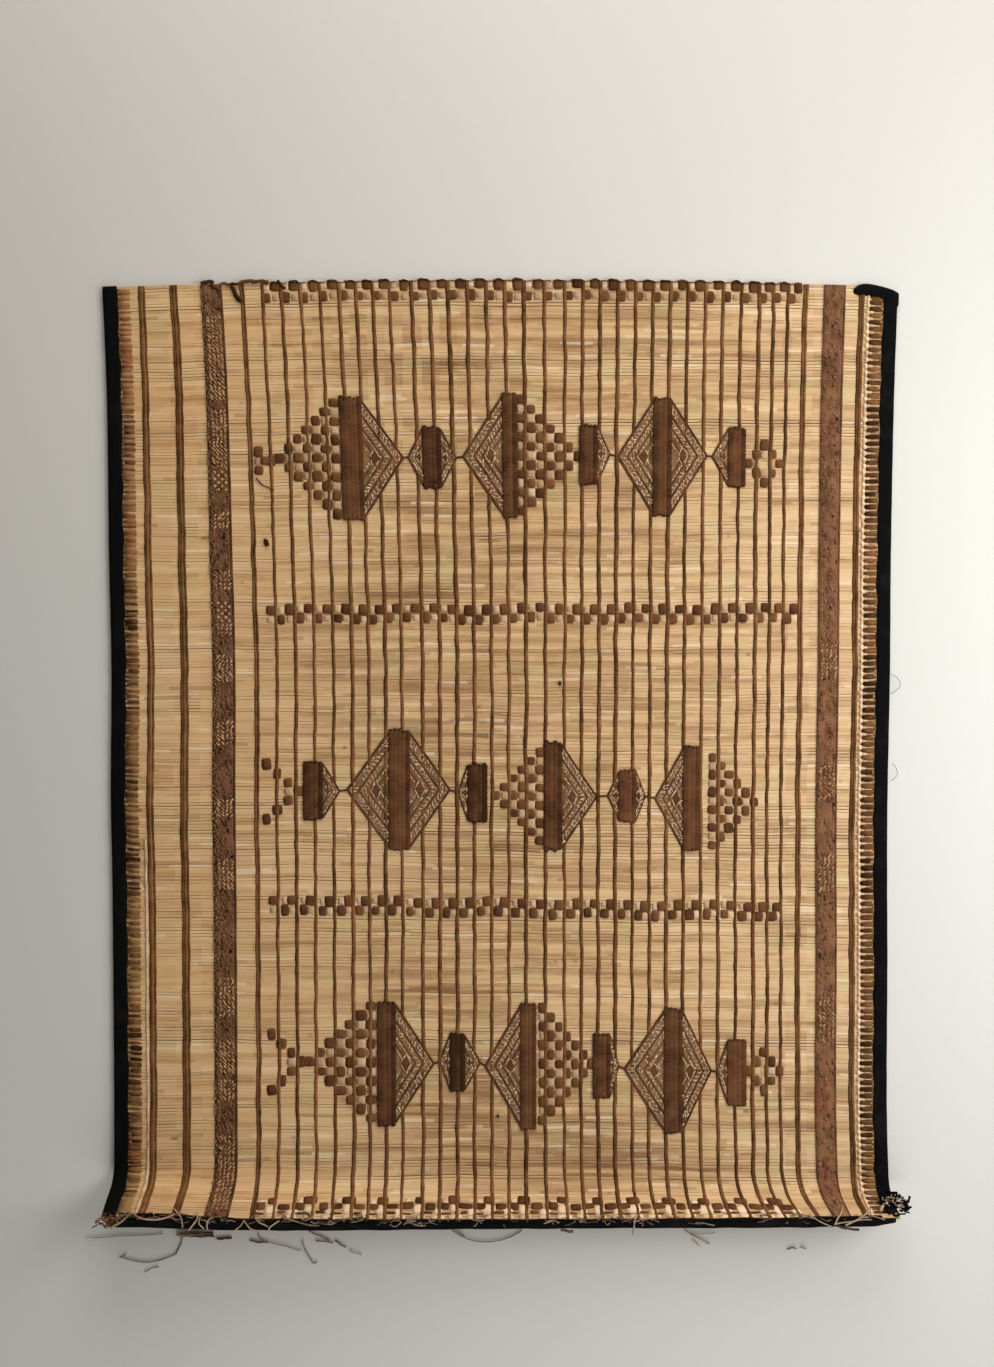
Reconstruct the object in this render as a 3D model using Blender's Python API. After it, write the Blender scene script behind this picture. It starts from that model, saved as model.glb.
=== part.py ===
"""A Tuareg mat of reeds laced with leather, lying face up, with the foot end curled up off the ground.

Metres, +Z up. X runs along the reeds, +Y towards the top end. The origin is on the ground, under the middle
of the whole mat. Each sub-part is a closed thin solid that follows the mat's own surface: `across` is the
place between the left edge (-1) and the right edge (+1), and `down` is the distance from the top end along
the mat.
"""

import math

import bmesh
import bpy
from mathutils import Vector

# Driving dimensions.
REED_THICK = 0.0045  # one layer of reeds with the leather over it
MAT_LENGTH = 1.654  # along the reeds' surface, from the top end to the foot
WALL = 0.0012  # thickness of the binding cloth and of the leather
GAP = 0.0003  # clearance between neighbours
BINDING_LEFT = 0.026  # visible width of the left binding
BINDING_RIGHT = 0.028
BINDING_FOOT = 0.014  # how far the foot's binding reaches past the reeds
CORNER_TURN = 0.063  # how far the right binding runs along the top end
CORNER_DEPTH = 0.019  # how far that turned end reaches down
RAMP_START = 0.170  # where the reeds begin to rise to the bindings' height, from the edge
RAMP_END = 0.135
BEND_RUN = 0.060  # length of the curved stretch at the foot's crease

# The outline at distances down the middle. left and right are the half widths. left_drop and right_drop say
# how far the reeds sit towards the foot at each side, compared with the middle.
OUTLINE_COLUMNS = ("down", "left", "right", "left_drop", "right_drop")
OUTLINE = (
    (0.000, 0.6970, 0.6940, 0.013, 0.012),
    (0.200, 0.6890, 0.6870, 0.006, 0.007),
    (0.490, 0.6850, 0.6815, 0.001, -0.003),
    (0.680, 0.6810, 0.6800, -0.002, 0.000),
    (0.910, 0.6820, 0.6755, -0.004, 0.005),
    (1.040, 0.6795, 0.6750, -0.006, 0.010),
    (1.180, 0.6780, 0.6755, -0.005, 0.008),
    (1.450, 0.6760, 0.6745, 0.002, 0.006),
    (1.660, 0.6760, 0.6810, 0.006, 0.004),
)

# The crease where the foot turns up: where it starts, and how steeply the foot then rises.
CREASE_COLUMNS = ("across", "start", "bend")
CREASE = (
    (-1.0, 1.532, math.radians(66)),
    (0.0, 1.545, math.radians(55)),
    (1.0, 1.558, math.radians(72)),
)

# How far the lacing has wandered sideways at the top end and at the foot, in shares of the half width. It
# straightens over TOP_LEAN_RUN from the top, and wanders again on the turned-up foot.
LEAN_COLUMNS = ("across", "top", "foot")
LEAN = (
    (-1.00, 0.000, 0.000),
    (-0.75, -0.013, -0.008),
    (-0.60, -0.026, 0.000),
    (-0.18, -0.026, 0.000),
    (0.11, -0.006, 0.002),
    (0.30, 0.000, 0.006),
    (0.53, 0.000, 0.013),
    (0.76, 0.000, 0.032),
    (0.84, 0.000, 0.013),
    (1.00, 0.000, 0.000),
)
TOP_LEAN_RUN = 0.75
LEAN_POWER = 1.6

# The two wide plaited leather bands that run down the mat, by their middle and width.
BAND_COLUMNS = ("name", "across", "width")
BANDS = (("band_left", -0.709, 0.036), ("band_right", 0.8406, 0.036))

# Loose thong ends along the foot: where they hang, how wide the bunch is, and how far it lies out on the
# ground.
THONG_COLUMNS = ("at", "width", "reach")
THONGS = (
    (-0.640, 0.030, 0.040),
    (-0.598, 0.030, 0.110),
    (-0.545, 0.036, 0.062),
    (-0.490, 0.020, 0.040),
    (-0.425, 0.026, 0.046),
    (-0.376, 0.030, 0.062),
    (-0.328, 0.022, 0.085),
    (-0.270, 0.044, 0.060),
    (-0.032, 0.070, 0.040),
    (0.340, 0.044, 0.040),
    (0.585, 0.060, 0.036),
)
THONG_SPLITS = (-0.15, 0.1, 0.22, 0.46)  # more places across, so that the lacing follows the foot's curve
HANG_STATIONS = 3  # down the foot's outer face
TURN_STATIONS = 4  # round the bend onto the ground
GROUND_STATIONS = 8  # out to the longest thong's end
THONG_THICK = 0.0024
THONG_ROOT = 0.010  # height of the lacing that the thongs leave
THONG_BEND = 0.016  # radius where a thong meets the ground
THONG_CLEAR = 0.0010

INSETS = (0.0, 0.027, 0.060, 0.093, 0.127, RAMP_END, RAMP_START, 0.214)  # stations in from each edge
BODY_STATIONS = 8  # across the flat middle
DOWN_STATIONS = 16  # down the flat body
BEND_STATIONS = 7  # round the crease
FLAP_STATIONS = 3


def column(table, columns, key, name, at):
    """The value of a named column at a place along the table, on a smooth curve through its rows."""
    where = columns.index(key)
    what = columns.index(name)
    rows = [(row[where], row[what]) for row in table]
    if at <= rows[0][0]:
        return rows[0][1]
    if at >= rows[-1][0]:
        return rows[-1][1]
    slopes = []
    for n in range(len(rows)):
        before, after = rows[max(n - 1, 0)], rows[min(n + 1, len(rows) - 1)]
        slopes.append((after[1] - before[1]) / (after[0] - before[0]))
    n = next(n for n in range(len(rows) - 1) if at <= rows[n + 1][0])
    (x0, y0), (x1, y1) = rows[n], rows[n + 1]
    span = x1 - x0
    t = (at - x0) / span
    return (
        y0 * (2 * t**3 - 3 * t**2 + 1)
        + slopes[n] * span * (t**3 - 2 * t**2 + t)
        + y1 * (3 * t**2 - 2 * t**3)
        + slopes[n + 1] * span * (t**3 - t**2)
    )


def parabola(left, middle, right, across):
    return middle + (right - left) / 2 * across + ((left + right) / 2 - middle) * across**2


def half_width(side, down):
    return column(OUTLINE, OUTLINE_COLUMNS, "down", "left" if side < 0 else "right", down)


def lean(across, down):
    """How far the lacing has wandered at a place, in shares of the half width."""
    top = max(0.0, 1 - down / TOP_LEAN_RUN) ** LEAN_POWER
    start = crease("start", across)
    foot = max(0.0, (down - start) / (MAT_LENGTH - start)) ** LEAN_POWER
    return top * column(LEAN, LEAN_COLUMNS, "across", "top", across) + foot * column(
        LEAN, LEAN_COLUMNS, "across", "foot", across
    )


def crease(name, across):
    left, middle, right = (row[CREASE_COLUMNS.index(name)] for row in CREASE)
    return parabola(left, middle, right, across)


def edge_rise(across, down):
    """The reeds rise by the binding's thickness near each side, where the binding passes under them."""
    from_edge = (1 - abs(across)) * half_width(across, down)
    return (WALL + GAP) * max(0.0, min(1.0, (RAMP_START - from_edge) / (RAMP_START - RAMP_END)))


def on_mat(across, down, height):
    """A point at a height over the mat's underside, which is on the ground up to the crease."""
    drop = parabola(
        column(OUTLINE, OUTLINE_COLUMNS, "down", "left_drop", down),
        0.0,
        column(OUTLINE, OUTLINE_COLUMNS, "down", "right_drop", down),
        across,
    )
    start, bend = crease("start", across), crease("bend", across)
    past = max(0.0, down - start)
    radius = BEND_RUN / bend
    turned = min(past, BEND_RUN) / radius
    straight = max(0.0, past - BEND_RUN)
    forward = radius * math.sin(turned) + straight * math.cos(turned)
    rise = radius * (1 - math.cos(turned)) + straight * math.sin(turned)
    x = across * half_width(across, down)
    y = -(min(down, start) + forward + drop)
    return Vector((x, y + math.sin(turned) * height, rise + math.cos(turned) * height))


def over_reeds(across, down, height):
    """A point at a height over the reeds' own underside."""
    return on_mat(across, down, edge_rise(across, down) + height)


def steps(start, end, count):
    """Even steps from start, left out, to end."""
    return [start + (end - start) * (n + 1) / count for n in range(count)]


def down_stations(first=0.0, last=MAT_LENGTH):
    """Distances down the mat: evenly along the flat body, and closer round the crease."""
    starts = [row[CREASE_COLUMNS.index("start")] for row in CREASE]
    bend_end = max(starts) + BEND_RUN
    return [
        first,
        CORNER_DEPTH,
        *steps(CORNER_DEPTH, min(starts), DOWN_STATIONS),
        *steps(min(starts), bend_end, BEND_STATIONS),
        *steps(bend_end, last, FLAP_STATIONS),
    ]


def thin_solid(name, columns, rows, place, cells=None):
    """A closed solid between two layers of one grid. place(column, row, layer) gives its points, and
    cells(column number, row number) says which cells are there."""
    mesh = bpy.data.meshes.new(name)
    bm = bmesh.new()
    points = {}

    def vertex(i, j, layer):
        if (i, j, layer) not in points:
            points[i, j, layer] = bm.verts.new(place(columns[i], rows[j], layer))
        return points[i, j, layer]

    def present(i, j):
        inside = 0 <= i < len(columns) - 1 and 0 <= j < len(rows) - 1
        return inside and (cells is None or cells(i, j))

    for i in range(len(columns) - 1):
        for j in range(len(rows) - 1):
            if not present(i, j):
                continue
            corners = [(i, j), (i + 1, j), (i + 1, j + 1), (i, j + 1)]
            beyond = [(i, j - 1), (i + 1, j), (i, j + 1), (i - 1, j)]
            bm.faces.new([vertex(a, b, 1) for a, b in corners])
            bm.faces.new([vertex(a, b, 0) for a, b in reversed(corners)])
            for n in range(4):
                if not present(*beyond[n]):
                    start, end = corners[n], corners[(n + 1) % 4]
                    bm.faces.new([vertex(*end, 1), vertex(*start, 1), vertex(*start, 0), vertex(*end, 0)])
    bmesh.ops.recalc_face_normals(bm, faces=bm.faces)
    bmesh.ops.triangulate(bm, faces=bm.faces)
    bm.to_mesh(mesh)
    bm.free()
    part = bpy.data.objects.new(name, mesh)
    bpy.context.scene.collection.objects.link(part)
    return part


def material(name, color, roughness):
    made = bpy.data.materials.new(name)
    made.use_nodes = True
    shader = made.node_tree.nodes["Principled BSDF"]
    shader.inputs["Base Color"].default_value = (*color, 1.0)
    shader.inputs["Roughness"].default_value = roughness
    made.diffuse_color = (*color, 1.0)
    return made


def cut(part, cutter):
    """Takes the cutter's shape out of a part, and leaves the cutter as a hidden guide."""
    cutter.hide_render = True
    cutter.display_type = "WIRE"
    boolean = part.modifiers.new("clearance", "BOOLEAN")
    boolean.operation = "DIFFERENCE"
    boolean.solver = "EXACT"
    boolean.object = cutter


def mat_edge(side, down, outwards=0.0):
    """The reeds' end at a side, as a share of the half width, moved outwards by a distance."""
    return side * (1 + (outwards - WALL - GAP) / half_width(side, down))


def reed_mat():
    """One sheet of reeds, with ends inside the bindings."""
    columns = [(-1, inset) for inset in INSETS]
    columns += [(0, part_way) for part_way in steps(-1, 1, BODY_STATIONS)[:-1]]
    columns += [(1, inset) for inset in reversed(INSETS)]

    def place(spot, down, layer):
        side, value = spot
        if side:
            across = mat_edge(side, down, -value)
        else:
            across = value * mat_edge(1, down, -INSETS[-1])
        return over_reeds(across, down, REED_THICK * layer)

    return thin_solid("reed_mat", columns, down_stations(), place)


def reed_clearance(side):
    """The reeds near one side with a gap all round: what the binding has to leave free."""
    columns = [GAP] + [-inset for inset in INSETS[1:] if inset <= RAMP_END]
    rows = down_stations(-GAP, MAT_LENGTH + GAP)

    def place(outwards, down, layer):
        across = mat_edge(side, down, outwards)
        return on_mat(across, down, WALL + (REED_THICK + 2 * GAP) * layer)

    return thin_solid(f"reed_clearance_{'left' if side < 0 else 'right'}", columns, rows, place)


def binding(name, side, width, turn):
    """A strip folded round the reeds' ends, over both faces. The right one also turns along the top end."""
    columns = [0.0, -width, -width - turn] if turn else [0.0, -width]
    rows = down_stations(-WALL - GAP, MAT_LENGTH + BINDING_FOOT)

    def place(outwards, down, layer):
        across = side * (1 + outwards / half_width(side, down))
        return on_mat(across, down, (REED_THICK + 2 * (WALL + GAP)) * layer)

    strip = thin_solid(name, columns, rows, place, lambda i, j: i == 0 or j == 0)
    cut(strip, reed_clearance(side))
    return strip


def binding_foot():
    """A folded strip of the same cloth past the reeds' lower edge, between the side bindings."""
    count = 2 * BODY_STATIONS
    rows = [MAT_LENGTH + GAP, MAT_LENGTH + BINDING_FOOT]

    def place(part_way, down, layer):
        left = -half_width(-1, down) + BINDING_LEFT + 2 * GAP
        right = half_width(1, down) - BINDING_RIGHT - 2 * GAP
        x = left + (right - left) * part_way / count
        height = (REED_THICK + 2 * (WALL + GAP)) * layer - WALL - GAP
        return over_reeds(x / half_width(x, down), down, height)

    return thin_solid("binding_foot", range(count + 1), rows, place)


def band(name, across, width):
    """A wide plaited leather band, laid down the mat over the reeds."""

    def place(side, down, layer):
        middle = across + lean(across, down)
        height = REED_THICK + GAP + WALL * layer
        return over_reeds(middle + side * width / 2 / half_width(across, down), down, height)

    return thin_solid(name, (-1, 0, 1), down_stations(), place)


def thong_fringe():
    """The lacing along the foot's end and the loose thongs that hang from it and lie on the ground."""
    end = MAT_LENGTH + BINDING_FOOT
    edges = {at + half * width / 2 for at, width, _ in THONGS for half in (-1, 1)}
    columns = sorted(edges | set(THONG_SPLITS))
    longest = max(reach for _, _, reach in THONGS)
    first_turn = 1 + HANG_STATIONS
    first_ground = first_turn + TURN_STATIONS
    rows = range(first_ground + GROUND_STATIONS + 1)

    def lies_at(row):
        return longest * max(0, row - first_ground) / GROUND_STATIONS

    def place(x, row, layer):
        across = x / half_width(x, end)
        low = over_reeds(across, end, -WALL - GAP)
        high = over_reeds(across, end, REED_THICK)
        inset = THONG_THICK * (1 - layer)
        face = low.y - THONG_CLEAR - inset
        if row == 0:
            return Vector((x, face, high.z))
        if row <= first_turn:
            start = high.z - THONG_ROOT
            return Vector((x, face, start + (THONG_BEND - start) * (row - 1) / HANG_STATIONS))
        turned = min(1.0, (row - first_turn) / TURN_STATIONS) * math.pi / 2
        radius = THONG_BEND - inset
        centre_y = low.y - THONG_CLEAR - THONG_BEND
        y = centre_y + radius * math.cos(turned) - lies_at(row)
        return Vector((x, y, THONG_BEND - radius * math.sin(turned)))

    def cells(i, j):
        if j == 0:
            return True
        middle = (columns[i] + columns[i + 1]) / 2
        for at, width, reach in THONGS:
            if abs(middle - at) < width / 2:
                return lies_at(j + 1) <= reach + longest / GROUND_STATIONS / 2
        return False

    return thin_solid("thong_fringe", columns, rows, place, cells)


def move_to_middle(parts):
    """Moves every mesh so that the origin is on the ground under the middle of the whole mat."""
    corners = [vertex.co for part in parts for vertex in part.data.vertices if not part.hide_render]
    centre_x = (min(c.x for c in corners) + max(c.x for c in corners)) / 2
    centre_y = (min(c.y for c in corners) + max(c.y for c in corners)) / 2
    for part in parts:
        for vertex in part.data.vertices:
            vertex.co -= Vector((centre_x, centre_y, 0.0))


def main():
    for old in list(bpy.data.objects):
        bpy.data.objects.remove(old, do_unlink=True)
    reed = material("reed", (0.52, 0.36, 0.20), 0.55)
    cloth = material("black_cloth", (0.012, 0.010, 0.009), 0.85)
    leather = material("brown_leather", (0.13, 0.055, 0.025), 0.6)
    finishes = [(reed_mat(), reed)]
    finishes.append((binding("binding_left", -1, BINDING_LEFT, 0.0), cloth))
    finishes.append((binding("binding_right", 1, BINDING_RIGHT, CORNER_TURN), cloth))
    finishes.append((binding_foot(), cloth))
    finishes += [(band(*row), leather) for row in BANDS]
    finishes.append((thong_fringe(), leather))
    for part, finish in finishes:
        part.data.materials.append(finish)
    move_to_middle(list(bpy.data.objects))


main()
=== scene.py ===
"""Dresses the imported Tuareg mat: reeds, leather lacing, woven motifs, cloth bindings and thongs.

Every piece is first drawn flat: x across the mat, -y down from the top end, z up from the reeds' underside.
lay() then moves its points onto the mat as it lies, on the same surface as the CAD solids.
"""

import math
from collections import namedtuple

import bpy
import numpy as np
from bpy.props import FloatProperty, FloatVectorProperty, IntProperty, PointerProperty
from bpy.types import Operator, Panel, PropertyGroup
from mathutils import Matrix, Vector


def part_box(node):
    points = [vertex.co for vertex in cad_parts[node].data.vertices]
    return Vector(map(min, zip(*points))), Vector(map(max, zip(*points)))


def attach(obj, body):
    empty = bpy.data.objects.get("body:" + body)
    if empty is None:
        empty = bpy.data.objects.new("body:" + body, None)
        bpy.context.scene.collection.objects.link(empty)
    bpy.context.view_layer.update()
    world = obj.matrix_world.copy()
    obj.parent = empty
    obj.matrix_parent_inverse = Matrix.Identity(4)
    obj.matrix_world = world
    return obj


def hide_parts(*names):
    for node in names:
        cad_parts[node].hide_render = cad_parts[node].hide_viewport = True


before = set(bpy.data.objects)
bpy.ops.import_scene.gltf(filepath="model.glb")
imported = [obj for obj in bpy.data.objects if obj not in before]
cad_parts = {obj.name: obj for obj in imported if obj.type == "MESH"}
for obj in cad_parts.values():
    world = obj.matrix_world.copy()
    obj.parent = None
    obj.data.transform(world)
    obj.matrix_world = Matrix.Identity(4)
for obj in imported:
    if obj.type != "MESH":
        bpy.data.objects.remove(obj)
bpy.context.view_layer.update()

bl_info = {
    "name": "Laced reed mat",
    "version": (1, 0, 0),
    "blender": (4, 5, 0),
    "location": "3D View > Sidebar > Mat",
    "description": "Builds the reeds, lacing, motifs, bindings and thongs of a Tuareg mat",
    "category": "Object",
}


def table(columns, *rows):
    """A short table: its rows' values are read by the names of its columns."""
    kind = namedtuple("Row", columns)
    return [kind(*row) for row in rows]


# The mat's surface, in metres. These sizes and tables repeat the CAD model's.
REED_THICK = 0.0045
MAT_LENGTH = 1.654
WALL = 0.0012
GAP = 0.0003
BINDING_LEFT = 0.026
BINDING_RIGHT = 0.028
BINDING_FOOT = 0.014
HEM = 1.648
RAMP_START = 0.170
RAMP_END = 0.135
BEND_RUN = 0.060
OUTLINE = table(
    "down left right left_drop right_drop",
    (0.000, 0.6970, 0.6940, 0.013, 0.012),
    (0.200, 0.6890, 0.6870, 0.006, 0.007),
    (0.490, 0.6850, 0.6815, 0.001, -0.003),
    (0.680, 0.6810, 0.6800, -0.002, 0.000),
    (0.910, 0.6820, 0.6755, -0.004, 0.005),
    (1.040, 0.6795, 0.6750, -0.006, 0.010),
    (1.180, 0.6780, 0.6755, -0.005, 0.008),
    (1.450, 0.6760, 0.6745, 0.002, 0.006),
    (1.660, 0.6760, 0.6810, 0.006, 0.004),
)
CREASE = table(
    "across start bend",
    (-1.0, 1.532, math.radians(66)),
    (0.0, 1.545, math.radians(55)),
    (1.0, 1.558, math.radians(72)),
)
LEAN = table(
    "across top foot",
    (-1.00, 0.000, 0.000),
    (-0.75, -0.013, -0.008),
    (-0.60, -0.026, 0.000),
    (-0.18, -0.026, 0.000),
    (0.11, -0.006, 0.002),
    (0.30, 0.000, 0.006),
    (0.53, 0.000, 0.013),
    (0.76, 0.000, 0.032),
    (0.84, 0.000, 0.013),
    (1.00, 0.000, 0.000),
)
TOP_LEAN_RUN = 0.75
LEAN_POWER = 1.6

# Half the width of the flat drawing, and where its middle and top end lie in the frame.
HALF = 0.680
TOP_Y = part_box("reed_mat")[1].y
MIDDLE_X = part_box("binding_left")[0].x + OUTLINE[0].left

# Heights over the reeds' underside, and how high small squares and strips stand over their guides.
CORD_Z = REED_THICK + 0.0003
OPENWORK_Z = REED_THICK + 0.0010
BAND_EDGE_Z = REED_THICK + 0.0012
PLAIT_Z = REED_THICK + 0.0020
BAR_Z = REED_THICK + 0.0022
PALE_HIGH = 0.0014
BROWN_HIGH = 0.0020

# The lacing, flat. Cords are counted from the left, and a motif's places are given in cords.
FIRST_CORD = -0.3899
LACING_SPLIT = 0.04
SIDE_CELL = 0.045
CORD_SPACING = table(
    "cords pitch",
    (4, 0.0330),
    (3, 0.0286),
    (1, 0.0362),
    (6, 0.0301),
    (2, 0.0336),
    (7, 0.0298),
    (4, 0.0308),
    (2, 0.0245),
)
STRIPS = table(
    "x width tone",
    (-0.6100, 0.0052, 0.30), (-0.6137, 0.0056, -0.28), (-0.6063, 0.0056, -0.25),
    (-0.5560, 0.0048, -0.30), (-0.5513, 0.0070, -0.08), (-0.5466, 0.0048, -0.30),
    (-0.4275, 0.0048, -0.10), (-0.4232, 0.0048, -0.25),
    (0.5200, 0.0050, -0.20), (0.5246, 0.0050, -0.05),
    (0.6150, 0.0054, -0.32), (0.6200, 0.0060, -0.20),
)
CREAM_LINES = table(
    "x width tone start",
    (-0.6205, 0.0050, -0.05, 0.98),
    (0.6294, 0.0044, 0.10, 0.0),
)
BAND_RIBS = 6
PLAIT_ROW = 0.0062
WIDE_BANDS = table(
    "name x width left_edge right_edge edge_tone top_tone foot_tone plait_tone speck_row",
    ("left", -0.4826, 0.040, 0.0066, 0.0044, -0.42, 0.10, 0.00, 0.38, 0.0026),
    ("right", 0.5716, 0.037, 0.0036, 0.0036, -0.25, -0.02, 0.18, -0.05, 0.0040),
)
BAND_SECTIONS = table(
    "name from_down to_down weave",
    ("left", 0.060, 0.205, "falling"),
    ("left", 0.228, 0.256, "chevron"),
    ("left", 0.262, 0.285, "rising"),
    ("left", 0.288, 0.330, "falling"),
    ("left", 0.334, 0.368, "checked"),
    ("left", 0.410, 0.432, "rising"),
    ("left", 0.510, 0.545, "chevron"),
    ("left", 0.565, 0.600, "checked"),
    ("left", 0.604, 0.625, "rising"),
    ("left", 0.660, 0.705, "crossed"),
    ("left", 0.775, 0.812, "chevron"),
    ("left", 0.912, 0.945, "chevron"),
    ("left", 1.018, 1.070, "crossed"),
    ("left", 1.225, 1.290, "crossed"),
    ("left", 1.335, 1.385, "falling"),
    ("left", 1.400, 1.430, "chevron"),
    ("left", 1.495, 1.530, "chevron"),
    ("left", 1.535, 1.630, "rising"),
    ("right", 0.640, 0.700, "rising"),
    ("right", 0.850, 0.905, "crossed"),
    ("right", 1.000, 1.060, "rising"),
    ("right", 1.240, 1.330, "crossed"),
)
STITCHES = table(
    "inner outer first from_foot pitch thickness rough tone fade ridge",
    (-0.6298, -0.6572, 0.012, 0.050, 0.0104, 0.0066, 0.45, 0.34, 0.40, 0.0),
    (0.6306, 0.6556, 0.030, 0.012, 0.0118, 0.0084, 0.20, -0.20, 0.06, 0.0040),
)
UNDER_PITCH = 0.0074
UNDER_STITCHES = table(
    "inner outer tone fade",
    (-0.6298, -0.6572, 0.05, 0.15),
    (0.6330, 0.6572, -0.75, 0.0),
)
# The black cloth: the side strips, and the section they are folded to, in widths out and heights up. The
# corner's inner end, past which the reeds stop under it, and how fast they reach out below it.
CORNER_INNER = 0.636
CORNER_SLOPE = 3.0
SIDE_FOLDS = table(
    "name side width first last",
    ("left", -1, BINDING_LEFT, -WALL - GAP, MAT_LENGTH - 0.003),
    ("right", 1, BINDING_RIGHT - 0.003, 0.017, MAT_LENGTH - 0.012),
)
FOLD_SECTION = table(
    "out high",
    (-1.000, 0.88), (-0.955, 0.97), (-0.70, 1.00), (-0.35, 1.00), (-0.10, 0.93), (-0.02, 0.78),
    (0.000, 0.50), (-0.02, 0.20), (-0.10, 0.04), (-0.35, 0.00), (-0.95, 0.00), (-1.00, 0.06),
    (-0.97, 0.15), (-0.30, 0.16), (-0.08, 0.30), (-0.08, 0.68), (-0.30, 0.83), (-0.97, 0.82),
)
CORNER = table(
    "x upper lower",
    (0.604, 0.0050, 0.0150),
    (0.611, -0.0012, 0.0185),
    (0.626, -0.0046, 0.0195),
    (0.650, -0.0012, 0.0235),
    (0.672, 0.0050, 0.0320),
    (0.681, 0.0100, 0.0350),
)

# One line for each group of a motif: a half on each side of a bar. A half is checks, open or none.
CHECK_ROW = 0.0161
BAR_STRIP = 0.0075
MOTIFS = table(
    "down left tip_left bar_from bar_to right tip_right half tone",
    (0.310, "checks", 0.45, 3.70, 4.95, "open", 7.30, 0.106, 0.00),
    (0.309, "open", 7.55, 8.30, 9.30, "open", 10.15, 0.052, -0.30),
    (0.307, "open", 10.55, 12.75, 13.55, "checks", 16.75, 0.107, 0.00),
    (0.304, "none", 16.85, 16.85, 17.85, "open", 18.60, 0.051, -0.15),
    (0.308, "open", 19.05, 21.10, 22.15, "open", 24.20, 0.102, -0.12),
    (0.309, "open", 24.50, 25.40, 26.35, "none", 26.35, 0.052, -0.10),
    (0.895, "none", 1.40, 1.40, 2.40, "open", 3.30, 0.050, -0.20),
    (0.892, "open", 3.70, 6.20, 7.35, "open", 9.55, 0.104, 0.00),
    (0.896, "open", 10.05, 10.60, 11.70, "none", 11.70, 0.049, -0.35),
    (0.900, "checks", 12.15, 14.95, 15.85, "open", 17.90, 0.092, -0.10),
    (0.899, "open", 18.55, 19.20, 20.20, "open", 20.75, 0.043, 0.05),
    (0.902, "open", 21.35, 23.00, 23.90, "checks", 27.05, 0.090, 0.08),
    (1.370, "checks", 1.65, 5.45, 6.55, "open", 8.60, 0.106, -0.10),
    (1.366, "open", 8.95, 9.55, 10.40, "open", 11.30, 0.049, -0.48),
    (1.373, "open", 11.60, 13.65, 14.50, "checks", 17.60, 0.107, 0.05),
    (1.373, "none", 17.70, 17.70, 18.70, "open", 19.20, 0.054, -0.10),
    (1.378, "open", 19.55, 21.90, 22.95, "open", 24.60, 0.109, 0.00),
    (1.380, "open", 24.95, 25.55, 26.60, "none", 26.60, 0.054, 0.08),
)
CHECKED = table(
    "down first tip count row",
    (0.311, 3.40, 0.45, 7, 0.0163),
    (0.306, 13.80, 16.75, 7, 0.0164),
    (0.901, 14.70, 12.20, 6, 0.0153),
    (0.907, 24.65, 27.05, 6, 0.0153),
    (1.366, 5.05, 1.65, 7, 0.0162),
    (1.369, 14.85, 17.60, 7, 0.0163),
)
# Arrow tails of checks at the left of a row of motifs, and rings at the right.
TAILS = table(
    "down tip step count",
    (0.314, -0.30, -0.36, 2),
    (0.896, 1.15, -0.57, 4),
    (1.3655, 1.18, -0.52, 4),
)
RINGS = table(
    "down middle reach",
    (0.319, 27.55, 2),
    (1.377, 27.80, 2),
)
RING_STEP = (0.0136, 0.0168)
# Bands of checks across the mat: where, its rows' offsets down the mat, and its ends.
TOP_ROWS = 0.02
CHECK_BANDS = table(
    "down next before past from_x to_x",
    (0.0065, 0.0195, -0.33, 0.19, -0.3955, 0.5408),
    (0.5743, 0.0168, -0.29, 0.27, -0.413, 0.523),
    (1.0880, 0.0164, -0.28, 0.36, -0.404, 0.488),
)
FOOT_CHECKS = table(
    "count from_foot wide tall kind tone",
    (-0.15, 0.0420, 0.0150, 0.0140, "brown", 0.00),
    (-0.72, 0.0400, 0.0110, 0.0085, "pale", 0.15),
    (-0.70, 0.0310, 0.0130, 0.0125, "brown", 0.00),
    (0.50, 0.0300, 0.0145, 0.0115, "brown", 0.05),
    (-0.20, 0.0250, 0.0220, 0.0160, "pale", 0.60),
    (0.88, 0.0195, 0.0170, 0.0110, "pale", 0.55),
    (0.38, 0.0180, 0.0110, 0.0045, "brown", 0.00),
    (-0.70, 0.0165, 0.0120, 0.0040, "brown", 0.00),
    (-0.15, 0.0105, 0.0235, 0.0068, "pale", 0.30),
    (0.85, 0.0105, 0.0225, 0.0068, "pale", 0.22),
)
MISSING_DASHES = 0.16
OPENWORK_LINE_COLUMNS = "share width tone"
LARGE_LINES = table(
    OPENWORK_LINE_COLUMNS,
    (1.0, 0.0038, -0.28),
    (0.73, 0.0026, -0.20),
    (0.52, 0.0024, -0.15),
    (0.34, 0.0022, -0.15),
)
SMALL_LINES = table(
    OPENWORK_LINE_COLUMNS,
    (1.0, 0.0034, -0.28),
    (0.50, 0.0024, -0.20),
)
OPENWORK_ROW_COLUMNS = "share tilt pitch"
LARGE_ROWS = table(
    OPENWORK_ROW_COLUMNS,
    (0.93, 0.0, 0.0086), (0.85, 0.9, 0.0075), (0.79, 0.0, 0.0080), (0.66, 0.0, 0.0080), (0.60, -0.9, 0.0075),
    (0.45, 0.0, 0.0078), (0.24, 0.0, 0.0075),
)
SMALL_ROWS = table(
    OPENWORK_ROW_COLUMNS,
    (0.86, 0.0, 0.0080),
    (0.70, 0.0, 0.0080),
)
STRAND_COLUMNS = "x down end_x end_down bow width tone"
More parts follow.
